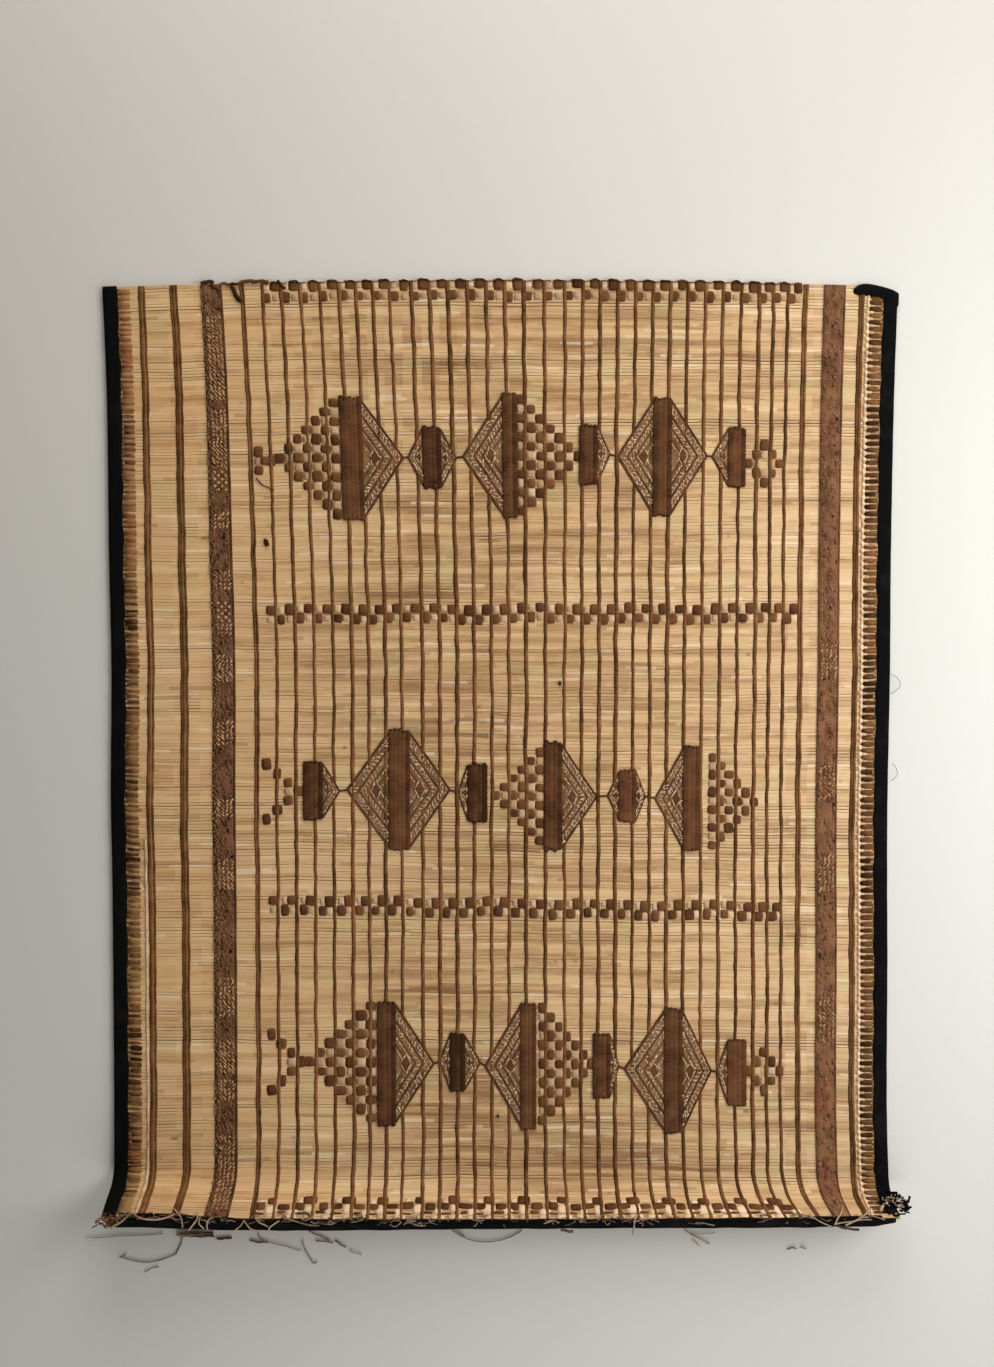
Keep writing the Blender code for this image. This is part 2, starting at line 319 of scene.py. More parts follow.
FOOT_STRANDS = table(
    STRAND_COLUMNS,
    (-0.6270, 1.6435, -0.5514, 1.6440, 0.0150, 0.0032, 0.30),
    (-0.6270, 1.6435, -0.6558, 1.6793, -0.0020, 0.0040, -0.05),
    (-0.5559, 1.6336, -0.5304, 1.6712, -0.0030, 0.0026, 0.35),
    (-0.5203, 1.6773, -0.5137, 1.6383, 0.0040, 0.0026, 0.30),
    (-0.5078, 1.6487, -0.4961, 1.6720, 0.0040, 0.0024, 0.40),
    (-0.4881, 1.6486, -0.4883, 1.6743, 0.0050, 0.0026, 0.30),
    (-0.4361, 1.6548, -0.4039, 1.6759, 0.0060, 0.0022, 0.30),
    (-0.4537, 1.6830, -0.4361, 1.6548, 0.0020, 0.0020, 0.20),
    (-0.4191, 1.6505, -0.3954, 1.6662, 0.0020, 0.0022, 0.35),
    (-0.3745, 1.6470, -0.3089, 1.6640, 0.0030, 0.0034, -0.25),
    (-0.3769, 1.6549, -0.3943, 1.6741, 0.0030, 0.0024, 0.30),
    (0.5800, 1.6322, 0.5391, 1.6704, -0.0040, 0.0028, 0.30),
    (0.6336, 1.6338, 0.5669, 1.6733, -0.0040, 0.0032, 0.25),
    (0.5983, 1.6461, 0.6184, 1.6560, 0.0040, 0.0022, 0.35),
    (0.6230, 1.6610, 0.5419, 1.6705, 0.0020, 0.0026, 0.10),
    (0.5039, 1.6451, 0.5300, 1.6760, 0.0020, 0.0030, 0.10),
    (0.6247, 1.6484, 0.6473, 1.6612, 0.0020, 0.0024, 0.30),
    (0.2282, 1.6423, 0.2152, 1.6825, 0.0020, 0.0026, 0.20),
    (0.6656, 1.6184, 0.6453, 1.6412, 0.0010, 0.0060, 0.35),
    (0.0981, 1.6700, 0.1180, 1.6740, 0.0010, 0.0050, -0.40),
    (0.5480, 1.6740, 0.5900, 1.6830, 0.0020, 0.0050, -0.45),
)
CORNER_RAGS = table(
    STRAND_COLUMNS,
    (0.6990, 1.6200, 0.7090, 1.6000, 0.0020, 0.0040, 0.00),
    (0.6700, 1.5880, 0.6900, 1.5930, 0.0020, 0.0060, 0.00),
)
GROUND_STRANDS = table(
    STRAND_COLUMNS,
    (-0.5330, 0.0100, -0.5452, 0.0432, -0.0020, 0.0036, 0.10),
    (-0.5452, 0.0432, -0.6424, 0.0490, -0.0110, 0.0032, 0.05),
    (-0.6424, 0.0490, -0.6319, 0.0417, 0.0050, 0.0024, 0.20),
    (-0.7004, 0.0175, -0.5675, 0.0069, 0.0010, 0.0022, 0.00),
    (-0.5745, 0.0648, -0.5988, 0.0759, 0.0015, 0.0026, 0.10),
    (-0.4772, 0.0139, -0.4537, 0.0118, 0.0010, 0.0056, -0.45),
    (-0.4253, 0.0166, -0.3956, 0.0198, 0.0010, 0.0044, -0.40),
    (-0.4123, 0.0007, -0.3956, 0.0190, 0.0050, 0.0026, -0.10),
    (-0.3956, 0.0180, -0.3403, 0.0332, 0.0000, 0.0022, 0.00),
    (-0.3386, 0.0157, -0.3183, 0.0558, 0.0020, 0.0028, 0.05),
    (-0.3183, 0.0558, -0.3132, 0.0523, 0.0010, 0.0028, -0.10),
    (-0.3285, -0.0019, -0.2912, 0.0154, 0.0000, 0.0030, -0.15),
    (-0.3149, 0.0155, -0.2861, 0.0189, 0.0000, 0.0034, -0.20),
    (-0.2827, 0.0153, -0.2640, 0.0275, 0.0000, 0.0036, -0.20),
    (-0.2589, 0.0310, -0.2367, 0.0396, 0.0010, 0.0026, 0.60),
    (-0.0836, -0.0030, 0.0346, -0.0030, 0.0210, 0.0026, -0.15),
    (-0.0751, -0.0026, -0.0599, 0.0114, -0.0010, 0.0022, -0.10),
    (0.3031, -0.0020, 0.3455, 0.0230, 0.0010, 0.0026, 0.05),
    (0.3162, 0.0139, 0.3293, 0.0263, 0.0010, 0.0018, 0.10),
    (0.3130, 0.0051, 0.3535, 0.0038, 0.0020, 0.0018, 0.45),
    (0.4645, 0.0354, 0.4786, 0.0339, -0.0020, 0.0034, -0.20),
    (0.4849, 0.0305, 0.4945, 0.0342, 0.0000, 0.0030, -0.15),
)
LOOSE_STRANDS = table(
    STRAND_COLUMNS,
    (-0.5020, 0.0000, -0.4780, -0.0022, -0.0030, 0.0085, -0.45),
    (-0.4840, 0.0000, -0.4660, 0.0120, 0.0000, 0.0075, -0.20),
    (-0.4660, 0.0005, -0.4480, 0.0020, -0.0020, 0.0060, 0.25),
    (-0.4480, 0.0015, -0.4310, 0.0020, -0.0015, 0.0050, -0.50),
    (-0.4425, 0.0040, -0.4270, 0.0340, 0.0020, 0.0100, -0.38),
    (-0.4300, 0.0015, -0.4020, -0.0010, -0.0040, 0.0080, 0.10),
    (-0.4040, -0.0020, -0.3780, 0.0000, -0.0020, 0.0070, -0.10),
    (-0.3620, -0.0040, -0.3500, 0.0120, 0.0000, 0.0060, -0.45),
    (-0.4120, -0.0040, -0.3750, -0.0050, 0.0010, 0.0014, 0.40),
    (-0.4172, 0.3435, -0.3865, 0.3651, 0.0030, 0.0022, -0.30),
    (0.6795, 0.6885, 0.6801, 0.7232, -0.0175, 0.0009, -0.50),
    (0.6844, 0.8398, 0.6850, 0.8710, -0.0105, 0.0009, -0.50),
    (-0.4020, 0.4505, -0.4005, 0.4620, 0.0010, 0.0080, -0.50),
    (0.1018, 0.7010, 0.1048, 0.7050, 0.0000, 0.0060, -0.50),
    (-0.0063, 1.4600, -0.0043, 1.4630, 0.0000, 0.0050, -0.50),
)

# Each leather's and palm's dark and light colour. Pale palm takes its light colour from the settings.
LEATHERS = {
    "brown_leather_worn": ((0.040, 0.015, 0.006), (0.178, 0.074, 0.029)),
    "cord_leather": ((0.072, 0.031, 0.009), (0.292, 0.130, 0.047)),
    "band_leather": ((0.062, 0.026, 0.012), (0.275, 0.124, 0.060)),
    "stitch_leather": ((0.034, 0.013, 0.004), (0.285, 0.128, 0.045)),
    "under_leather": ((0.130, 0.062, 0.022), (0.520, 0.295, 0.130)),
    "check_leather": ((0.044, 0.017, 0.006), (0.182, 0.075, 0.028)),
    "openwork_leather": ((0.090, 0.043, 0.018), (0.335, 0.190, 0.098)),
    "thread_leather": ((0.060, 0.036, 0.024), (0.44, 0.31, 0.21)),
}
PALMS = {
    "pale_palm": ((0.42, 0.25, 0.13), None),
    "plait_palm": ((0.190, 0.092, 0.036), (0.53, 0.300, 0.135)),
}

FLOOR_HALF = 6.0
FLOOR_DROP = 0.0004
CAMERA_ASIDE = -0.0070
CAMERA_DOWN = 0.7044
LIGHTS = table(
    "name place aim size color",
    ("key", (1.9, 0.3, 1.3), (0.1, -0.1, 0.0), 1.6, (0.95, 0.98, 1.0)),
    ("fill", (0.3, 3.2, 1.1), (0.0, -0.2, 0.0), 2.4, (1.0, 0.97, 0.92)),
    ("front", (0.6, -3.0, 1.6), (0.0, -0.2, 0.0), 2.4, (0.96, 0.98, 1.0)),
)


# ---------------------------------------------------------------- surface


def column(rows, key, name, at):
    """The values of a named column at places along a table, on a smooth curve through its rows."""
    xs = np.array([getattr(row, key) for row in rows])
    ys = np.array([getattr(row, name) for row in rows])
    order = np.arange(len(xs))
    before, after = np.maximum(order - 1, 0), np.minimum(order + 1, len(xs) - 1)
    slopes = (ys[after] - ys[before]) / (xs[after] - xs[before])
    at = np.clip(at, xs[0], xs[-1])
    n = np.clip(np.searchsorted(xs, at) - 1, 0, len(xs) - 2)
    span = xs[n + 1] - xs[n]
    t = (at - xs[n]) / span
    return (
        ys[n] * (2 * t**3 - 3 * t**2 + 1)
        + slopes[n] * span * (t**3 - 2 * t**2 + t)
        + ys[n + 1] * (3 * t**2 - 2 * t**3)
        + slopes[n + 1] * span * (t**3 - t**2)
    )


def parabola(left, middle, right, across):
    return middle + (right - left) / 2 * across + ((left + right) / 2 - middle) * across**2


def crease(name, across):
    left, middle, right = (getattr(row, name) for row in CREASE)
    return parabola(left, middle, right, across)


def half_width(across, down):
    return np.where(across < 0, column(OUTLINE, "down", "left", down), column(OUTLINE, "down", "right", down))


def lean(across, down):
    """How far the drawing leans sideways at the top and at the foot, as a share of half the width."""
    top = np.maximum(0.0, 1 - down / TOP_LEAN_RUN) ** LEAN_POWER
    start = crease("start", across)
    foot = np.maximum(0.0, (down - start) / (MAT_LENGTH - start)) ** LEAN_POWER
    return top * column(LEAN, "across", "top", across) + foot * column(LEAN, "across", "foot", across)


def on_mat(across, down, height):
    """Points at heights over the mat's underside, as an n by 3 array."""
    left_drop = column(OUTLINE, "down", "left_drop", down)
    right_drop = column(OUTLINE, "down", "right_drop", down)
    drop = parabola(left_drop, 0.0, right_drop, across)
    start, bend = crease("start", across), crease("bend", across)
    past = np.maximum(0.0, down - start)
    radius = BEND_RUN / bend
    turned = np.minimum(past, BEND_RUN) / radius
    straight = np.maximum(0.0, past - BEND_RUN)
    forward = radius * np.sin(turned) + straight * np.cos(turned)
    rise = radius * (1 - np.cos(turned)) + straight * np.sin(turned)
    x = MIDDLE_X + across * half_width(across, down)
    y = TOP_Y - (np.minimum(down, start) + forward + drop)
    return np.stack([x, y + np.sin(turned) * height, rise + np.cos(turned) * height], axis=-1)


def edge_rise(across, down):
    """How far the side bindings' lower layer lifts the mat's edges."""
    from_edge = (1 - np.abs(across)) * half_width(across, down)
    return (WALL + GAP) * np.clip((RAMP_START - from_edge) / (RAMP_START - RAMP_END), 0, 1)


def slack(x, down):
    """How far the reeds' lines wander down the mat, in metres: long, shallow waves."""
    slow = 0.0011 * np.sin(7.1 * x + 2.9 * down + 0.4) * np.sin(4.3 * down + 1.1)
    quick = 0.0010 * np.sin(36.0 * x + 2.2 * np.sin(8.0 * down) + 9.0 * down)
    return slow + quick + 0.0006 * np.sin(19.0 * x - 9.0 * down + 1.3)


def points_of(mesh):
    found = np.empty(len(mesh.vertices) * 3)
    mesh.vertices.foreach_get("co", found)
    return found.reshape(-1, 3)


def keep(piece, name, values):
    """Stores a number or a vector for each point of a piece."""
    values = np.array(values, dtype=float)
    kind, slot = ("FLOAT_VECTOR", "vector") if values.ndim == 2 else ("FLOAT", "value")
    piece.data.attributes.new(name, kind, "POINT").data.foreach_set(slot, values.ravel())


def lay(piece, leaning=True, ramped=True):
    """Moves a flat piece's points onto the mat, and keeps the flat places in the attribute `flat`."""
    flat = points_of(piece.data)
    keep(piece, "flat", flat)
    across, down, height = flat[:, 0] / HALF, -flat[:, 1], flat[:, 2]
    down = down + slack(flat[:, 0], down) * np.clip(20 * down, 0, 1) * np.clip(20 * (MAT_LENGTH - down), 0, 1)
    if ramped:
        height = height + edge_rise(across, down)
    if leaning:
        across = across + lean(across, down)
    piece.data.vertices.foreach_set("co", on_mat(across, down, height).ravel())
    piece.data.update()
    return piece


def cord_places():
    places = [FIRST_CORD]
    for cords, pitch in CORD_SPACING:
        places += [places[-1] + pitch * (n + 1) for n in range(cords)]
    return np.array(places)


CORDS = cord_places()


def cord_x(count):
    """The flat x of a place counted in cords, also past the first and last cord."""
    last = len(CORDS) - 1
    before = min(0, count) * (CORDS[1] - CORDS[0])
    past = max(0, count - last) * (CORDS[last] - CORDS[last - 1])
    return float(np.interp(count, range(len(CORDS)), CORDS)) + before + past


# ---------------------------------------------------------------- node graphs


def operation(name):
    """A pair of methods: the Math node with this value first, and with it second."""
    return (
        lambda self, other: self.graph.math(name, self, other),
        lambda self, other: self.graph.math(name, other, self),
    )


class Value:
    """A node's output socket, which can stand in an expression."""

    def __init__(self, graph, socket):
        self.graph, self.socket = graph, socket

    __add__, __radd__ = operation("ADD")
    __sub__, __rsub__ = operation("SUBTRACT")
    __mul__, __rmul__ = operation("MULTIPLY")
    __truediv__, __rtruediv__ = operation("DIVIDE")
    __pow__, __rpow__ = operation("POWER")
    __gt__, __lt__ = operation("GREATER_THAN")


class Graph:
    """A node tree being built."""

    def __init__(self, tree):
        self.tree = tree
        tree.nodes.clear()

    def node(self, kind, settings=None, inputs=None):
        made = self.tree.nodes.new(kind)
        for key, value in (settings or {}).items():
            if key == "stops":
                for place, color in value[2:]:
                    made.color_ramp.elements.new(place)
                for element, (place, color) in zip(made.color_ramp.elements, value):
                    element.position = place
                    element.color = (*color, 1)
            else:
                setattr(made, key, value)
        for key, value in (inputs or {}).items():
            if isinstance(value, Value):
                self.tree.links.new(value.socket, made.inputs[key])
            else:
                made.inputs[key].default_value = value
        return made

    def out(self, kind, settings=None, inputs=None, output=0):
        return Value(self, self.node(kind, settings, inputs).outputs[output])

    def math(self, name, *terms, clamp=False):
        settings = {"operation": name, "use_clamp": clamp}
        return self.out("ShaderNodeMath", settings, dict(enumerate(terms)))

    def vector(self, *terms):
        return self.out("ShaderNodeCombineXYZ", None, dict(enumerate(terms)))

    def parts(self, vector):
        split = self.node("ShaderNodeSeparateXYZ", None, {0: vector})
        return [Value(self, socket) for socket in split.outputs]

    def noise(self, vector, scale=1.0, detail=2.0, roughness=0.5):
        inputs = {"Vector": vector, "Scale": scale, "Detail": detail, "Roughness": roughness}
        return self.out("ShaderNodeTexNoise", None, inputs)

    def random(self, *terms):
        """A random number from 0 to 1 for each set of whole numbers."""
        return self.out("ShaderNodeTexWhiteNoise", None, {"Vector": self.vector(*terms)})

    def smooth(self, value, low, high):
        """0 below low, 1 above high, and a smooth step between."""
        settings = {"interpolation_type": "SMOOTHSTEP"}
        return self.out("ShaderNodeMapRange", settings, {"Value": value, "From Min": low, "From Max": high})


class Shader(Graph):
    """A material's graph."""

    def __init__(self, name):
        self.material = bpy.data.materials.new(name)
        self.material.use_nodes = True
        super().__init__(self.material.node_tree)

    def attribute(self, name, output="Fac"):
        return self.out("ShaderNodeAttribute", {"attribute_name": name}, None, output)

    def mix(self, factor, first, second, how="MIX"):
        settings = {"data_type": "RGBA", "blend_type": how, "clamp_factor": True}
        return self.out("ShaderNodeMix", settings, {0: factor, 6: first, 7: second}, 2)

    def ramp(self, factor, *stops):
        return self.out("ShaderNodeValToRGB", {"stops": stops}, {"Fac": factor})

    def brighten(self, color, amount):
        return self.out("ShaderNodeVectorMath", {"operation": "SCALE"}, {0: color, "Scale": amount})

    def finish(self, color, roughness, height, depth=0.001, strength=1.0, gloss=0.2):
        """The surface: a Principled shader with a bump from the height field."""
        bump = self.out("ShaderNodeBump", None, {"Strength": strength, "Distance": depth, "Height": height})
        inputs = {"Base Color": color, "Roughness": roughness, "Normal": bump, "Specular IOR Level": gloss}
        shader = self.out("ShaderNodeBsdfPrincipled", None, inputs)
        self.node("ShaderNodeOutputMaterial", None, {"Surface": shader})
        return self.material


class Geometry(Graph):
    """A geometry graph with named inputs. It ends in Realize Instances and Set Material."""

    KINDS = {float: "NodeSocketFloat", int: "NodeSocketInt", "material": "NodeSocketMaterial"}

    def __init__(self, name, **fields):
        super().__init__(bpy.data.node_groups.new(name, "GeometryNodeTree"))
        sockets = self.tree.interface
        sockets.new_socket("Geometry", in_out="OUTPUT", socket_type="NodeSocketGeometry")
        sockets.new_socket("Geometry", in_out="INPUT", socket_type="NodeSocketGeometry")
        for field, kind in {**fields, "seed": int, "material": "material"}.items():
            sockets.new_socket(field, in_out="INPUT", socket_type=self.KINDS[kind])
        source = self.tree.nodes.new("NodeGroupInput")
        self.inputs = {socket.name: Value(self, socket) for socket in source.outputs if socket.name}

    def __getitem__(self, name):
        return self.inputs[name]

    def field(self, name, kind="FLOAT"):
        return self.out("GeometryNodeInputNamedAttribute", {"data_type": kind}, {"Name": name})

    def store(self, geometry, name, value):
        inputs = {"Geometry": geometry, "Name": name, "Value": value}
        return self.out("GeometryNodeStoreNamedAttribute", {"data_type": "FLOAT"}, inputs)

    def between(self, low, high, key, offset=0):
        """A random number between two values for each element of a key."""
        inputs = {"Min": low, "Max": high, "ID": key, "Seed": self["seed"] + offset}
        node = self.node("FunctionNodeRandomValue", {"data_type": "FLOAT"})
        for name, value in inputs.items():
            socket = [s for s in node.inputs if s.name == name and s.enabled][0]
            if isinstance(value, Value):
                self.tree.links.new(value.socket, socket)
            else:
                socket.default_value = value
        return Value(self, [s for s in node.outputs if s.enabled][0])

    def moved(self, geometry, position):
        return self.out("GeometryNodeSetPosition", None, {"Geometry": geometry, "Position": position})

    def place(self):
        return self.out("GeometryNodeInputPosition")

    def finish(self, geometry):
        solid = self.out("GeometryNodeRealizeInstances", None, {"Geometry": geometry})
        solid = self.out("GeometryNodeSetShadeSmooth", None, {"Geometry": solid})
        inputs = {"Geometry": solid, "Material": self["material"]}
        solid = self.out("GeometryNodeSetMaterial", None, inputs)
        self.node("NodeGroupOutput", None, {"Geometry": solid})
        return self.tree


def reed_rods_tree():
    """Reeds side by side down the mat: split rods, flat above, each with its own width, height and bow."""
    fields = dict.fromkeys(("pitch", "half_length", "thickness", "uneven"), float)
    g = Geometry("reed_rods", count=int, stations=int, **fields)
    pitch, half, thick, uneven = g["pitch"], g["half_length"], g["thickness"], g["uneven"]
    line = {
        "Count": g["count"],
        "Start Location": g.vector(0.0, pitch * -0.5, thick * 0.5),
        "Offset": g.vector(0.0, pitch * -1.0, 0.0),
    }
    rows = g.out("GeometryNodeMeshLine", {"mode": "OFFSET"}, line)
    rows = g.store(rows, "reed", g.out("GeometryNodeInputIndex"))
    ends = {"Start": g.vector(half * -1.0, 0.0, 0.0), "End": g.vector(half, 0.0, 0.0)}
    axis = g.out("GeometryNodeCurvePrimitiveLine", None, ends)
    axis = g.out("GeometryNodeResampleCurve", {"mode": "COUNT"}, {"Curve": axis, "Count": g["stations"]})
    rods = g.out("GeometryNodeInstanceOnPoints", None, {"Points": rows, "Instance": axis})
    rods = g.out("GeometryNodeRealizeInstances", None, {"Geometry": rods})
    rods = g.out("GeometryNodeSetCurveNormal", {"mode": "Z_UP"}, {"Curve": rods})
    profile = g.out("GeometryNodeCurvePrimitiveQuadrilateral", None, {"Width": pitch * 1.18, "Height": thick})
    rounding = {"Curve": profile, "Radius": thick * 0.12, "Count": 1}
    profile = g.out("GeometryNodeFilletCurve", {"mode": "POLY"}, rounding)
    inputs = {"Curve": rods, "Profile Curve": profile, "Fill Caps": True}
    rods = g.out("GeometryNodeCurveToMesh", None, inputs)
    reed = g.field("reed")
    x, y, z = g.parts(g.place())
    middle = (reed + 0.5) * pitch * -1.0
    own = 1.0 - uneven * g.between(0.0, 1.0, reed) ** 5.0
    low = 1.0 - 0.08 * g.between(0.0, 1.0, reed, 1) ** 4.0
    swell = g.noise(g.vector(x * 4.0, reed * 7.13, 0.0)) - 0.5
    bow = (g.noise(g.vector(x * 6.0, reed * 0.31, 4.0)) - 0.5) * pitch * 0.32
    width = (own + swell * 0.10) * (0.38 + z / thick * 0.62)
    rods = g.store(rods, "side", (y - middle) * width / (pitch * 0.5))
    place = g.vector(x, middle + (y - middle) * width + bow, z * (low + swell * 0.10))
    return g.finish(g.moved(rods, place))


def strands_tree():
    """Flattened strands along guide lines that carry their own width. They wander, and dip between reeds."""
    fields = dict.fromkeys(("spacing", "flatness", "wander", "ripple", "ripple_pitch", "swell"), float)
    g = Geometry("strands", sides=int, **fields)
    curve = g.out("GeometryNodeMeshToCurve", None, {"Mesh": g["Geometry"]})
    curve = g.out("GeometryNodeCurveSplineType", {"spline_type": "CATMULL_ROM"}, {"Curve": curve})
    curve = g.out("GeometryNodeResampleCurve", {"mode": "LENGTH"}, {"Curve": curve, "Length": g["spacing"]})
    x, y, z = g.parts(g.place())
    wave = g.math("COSINE", y / g["ripple_pitch"] * math.tau) * -1.0
    drift = g.noise(g.vector(x * 14.0, y * 13.0, g["seed"]), detail=4.0, roughness=0.6) - 0.5
    place = g.vector(x + drift * g["wander"] * 2.0, y, z + wave * g["ripple"])
    curve = g.moved(curve, place)
    curve = g.out("GeometryNodeSetCurveNormal", {"mode": "Z_UP"}, {"Curve": curve})
    circle = {"Resolution": g["sides"], "Radius": 0.5}
    profile = g.out("GeometryNodeCurvePrimitiveCircle", {"mode": "RADIUS"}, circle)
    flat = {"Geometry": profile, "Scale": g.vector(1.0, g["flatness"], 1.0)}
    profile = g.out("GeometryNodeTransform", None, flat)
    grain = g.noise(g.vector(x * 150.0, y * 60.0, z * 90.0), detail=2.0) - 0.5
    width = g.field("width") * (1.0 + wave * 0.10 + grain * g["swell"])
    inputs = {"Curve": curve, "Profile Curve": profile, "Scale": width, "Fill Caps": True}
    return g.finish(g.out("GeometryNodeCurveToMesh", None, inputs))


def pads_tree():
    """A small pad with soft corners and a domed top at each guide point, in the point's size and turn."""
    g = Geometry("pads", cuts=int, soft=float, dome=float, uneven=float, crooked=float)
    cuts = {"Size": (1.0, 1.0, 1.0), "Vertices X": g["cuts"], "Vertices Y": g["cuts"]}
    pad = g.out("GeometryNodeMeshCube", None, cuts)
    x, y, z = g.parts(g.place())
    corner = g.math("ABSOLUTE", x * y * 4.0) ** 3.0
    pull = 1.0 - corner * g["soft"]
    rim = g.math("MINIMUM", (x * 2.0) ** 4.0 + (y * 2.0) ** 4.0, 1.0)
    pad = g.moved(pad, g.vector(x * pull, y * pull, z * (1.0 - (z > 0.0) * rim * g["dome"])))
    index = g.out("GeometryNodeInputIndex")
    share_x = g.between(1.0 - g["uneven"], 1.0 + g["uneven"] * 0.4, index)
    share_y = g.between(1.0 - g["uneven"], 1.0 + g["uneven"] * 0.4, index, 1)
    skew = g.between(g["crooked"] * -1.0, g["crooked"], index, 2)
    scale_x, scale_y, scale_z = g.parts(g.field("size", "FLOAT_VECTOR"))
    inputs = {
        "Points": g["Geometry"],
        "Instance": pad,
        "Rotation": g.vector(0.0, 0.0, g.field("turn") + skew),
        "Scale": g.vector(scale_x * share_x, scale_y * share_y, scale_z),
    }
    return g.finish(g.out("GeometryNodeInstanceOnPoints", None, inputs))


TREES = {}


def tree(build):
    if build not in TREES:
        TREES[build] = build()
    return TREES[build]


# ---------------------------------------------------------------- pieces


def new_piece(name, points, edges=(), faces=(), **attributes):
    """A mesh object from points, with named values for its points."""
    mesh = bpy.data.meshes.new(name)
    mesh.from_pydata([tuple(map(float, p)) for p in points], edges, faces)
    piece = bpy.data.objects.new(name, mesh)
    for key, values in attributes.items():
        keep(piece, key, values)
    bpy.context.scene.collection.objects.link(piece)
    return piece


def grow(piece, build, material, **values):
    """Runs a geometry graph on a piece and keeps the result as its plain mesh."""
    grower = piece.modifiers.new("grow", "NODES")
    grower.node_group = tree(build)
    values["material"] = material
    for socket in grower.node_group.interface.items_tree:
        if socket.in_out == "INPUT" and socket.name in values:
            grower[socket.identifier] = values.pop(socket.name)
    if values:
        raise ValueError(f"{piece.name}: the graph has no input named {sorted(values)}")
    graph = bpy.context.evaluated_depsgraph_get()
    evaluated = piece.evaluated_get(graph)
    grown = bpy.data.meshes.new_from_object(evaluated, preserve_all_data_layers=True, depsgraph=graph)
    if not grown.polygons:
        raise ValueError(f"{piece.name}: the graph made nothing")
    piece.modifiers.clear()
    guide, piece.data = piece.data, grown
    bpy.data.meshes.remove(guide)
    grown.name = piece.name
    return piece


class Guides:
    """Guide lines and points for one graph, gathered from loops before the piece is made."""

    def __init__(self):
        self.points, self.edges, self.values = [], [], {}

    def line(self, path, width, tone=0.0):
        """One strand along a path. width and tone are one number each, or one for each point."""
        first = len(self.points)
        self.points += path
        for key, value in (("width", width), ("tone", tone)):
            self.values.setdefault(key, []).extend(np.broadcast_to(value, len(path)))
        self.edges += [(first + n, first + n + 1) for n in range(len(path) - 1)]

    def strand(self, row, height, sag=0.0):
        """One strand from a table's row: where it starts and ends, its bow, width and tone."""
        x, down, end_x, end_down, bow, width, tone = row
        run = math.hypot(end_x - x, end_down - down)
        normal = ((down - end_down) / run, (end_x - x) / run)
        path = []
        for t in np.linspace(0, 1, 9):
            off = bow * 4 * t * (1 - t) + 0.0006 * math.sin(9 * t + 80 * x)
            place = (x + (end_x - x) * t + normal[0] * off, down + (end_down - down) * t + normal[1] * off)
            path.append((place[0], -place[1], height - sag * 4 * t * (1 - t)))
        self.line(path, width, tone)

    def pad(self, x, down, z, size, turn=0.0, tone=0.0):
        self.points.append((x, -down, z))
        for key, value in (("size", size), ("turn", turn), ("tone", tone)):
            self.values.setdefault(key, []).append(value)

    def piece(self, name):
        return new_piece(name, self.points, self.edges, **self.values)


def declare(piece, slot, *replaced):
    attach(piece, "root")
    if replaced:
        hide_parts(*replaced)
    return piece


def settings():
    return bpy.context.scene.reed_mat_settings


# ---------------------------------------------------------------- materials


def leather(name):
    """Goat leather: grain, rubbed ridges, olive and red patches, and a tone of its own for each piece."""
    dark, light = LEATHERS[name]
    g = Shader(name)
    place = g.attribute("flat", "Vector")
    x, y, z = g.parts(place)
    grain = g.noise(place, scale=420.0, detail=3.0, roughness=0.6)
    cloud = g.noise(place, scale=38.0, detail=3.0)
    across = g.noise(g.vector(x * 60.0, y * 420.0, 0.0), detail=2.0)
    amount = 0.5 + g.attribute("tone") + (cloud - 0.5) * 1.2 + (grain - 0.5) * 0.7 + (across - 0.5) * 0.7
    color = g.mix(g.math("ADD", amount, 0.0, clamp=True), (*dark, 1.0), (*light, 1.0))
    hue = g.noise(g.vector(x * 21.0, y * 13.0, 3.0), detail=2.0)
    color = g.mix(g.smooth(hue, 0.50, 0.62) * 0.5, color, (0.90, 0.98, 0.76, 1.0), "MULTIPLY")
    color = g.mix(g.smooth(hue * -1.0, -0.47, -0.36) * 0.7, color, (1.06, 0.87, 0.92, 1.0), "MULTIPLY")
    return g.finish(color, 0.66 + grain * 0.2, grain * 0.6 + across * 0.5, depth=0.0009, gloss=0.06)


def split_palm(name):
    """Split palm: the raised squares, dashes and edge lines, and the lighter strips of the wide bands."""
    dark, light = PALMS[name]
    g = Shader(name)
    place = g.attribute("flat", "Vector")
    x, y, z = g.parts(place)
    streak = g.noise(g.vector(x * 60.0, y * 700.0, 0.0), detail=3.0)
    cloud = g.noise(place, scale=60.0, detail=2.0)
    amount = g.math("ADD", 0.5 + g.attribute("tone") + (streak - 0.5) * 0.9, (cloud - 0.5) * 0.8, clamp=True)
    light = light or settings().pale_color
    return g.finish(g.mix(amount, (*dark, 1.0), (*light, 1.0)), 0.6, streak, depth=0.0006)


def black_cotton(name):
    """Black cotton cloth: a plain weave, soft folds and patches of dust."""
    g = Shader(name)
    place = g.attribute("flat", "Vector")
    x, y, z = g.parts(place)
    weave = g.math("SINE", x * 9000.0) * g.math("SINE", y * 9000.0)
    dust = g.noise(place, scale=22.0, detail=4.0, roughness=0.65)
    fold = g.noise(g.vector(x * 160.0, y * 30.0, z * 90.0), detail=2.0)
    dusty = (0.018, 0.016, 0.014, 1.0)
    color = g.mix(g.smooth(dust, 0.48, 0.80) * 0.5, (*settings().cloth_color, 1.0), dusty)
    return g.finish(color, 0.88, weave * 0.10 + fold, depth=0.0012, gloss=0.06)


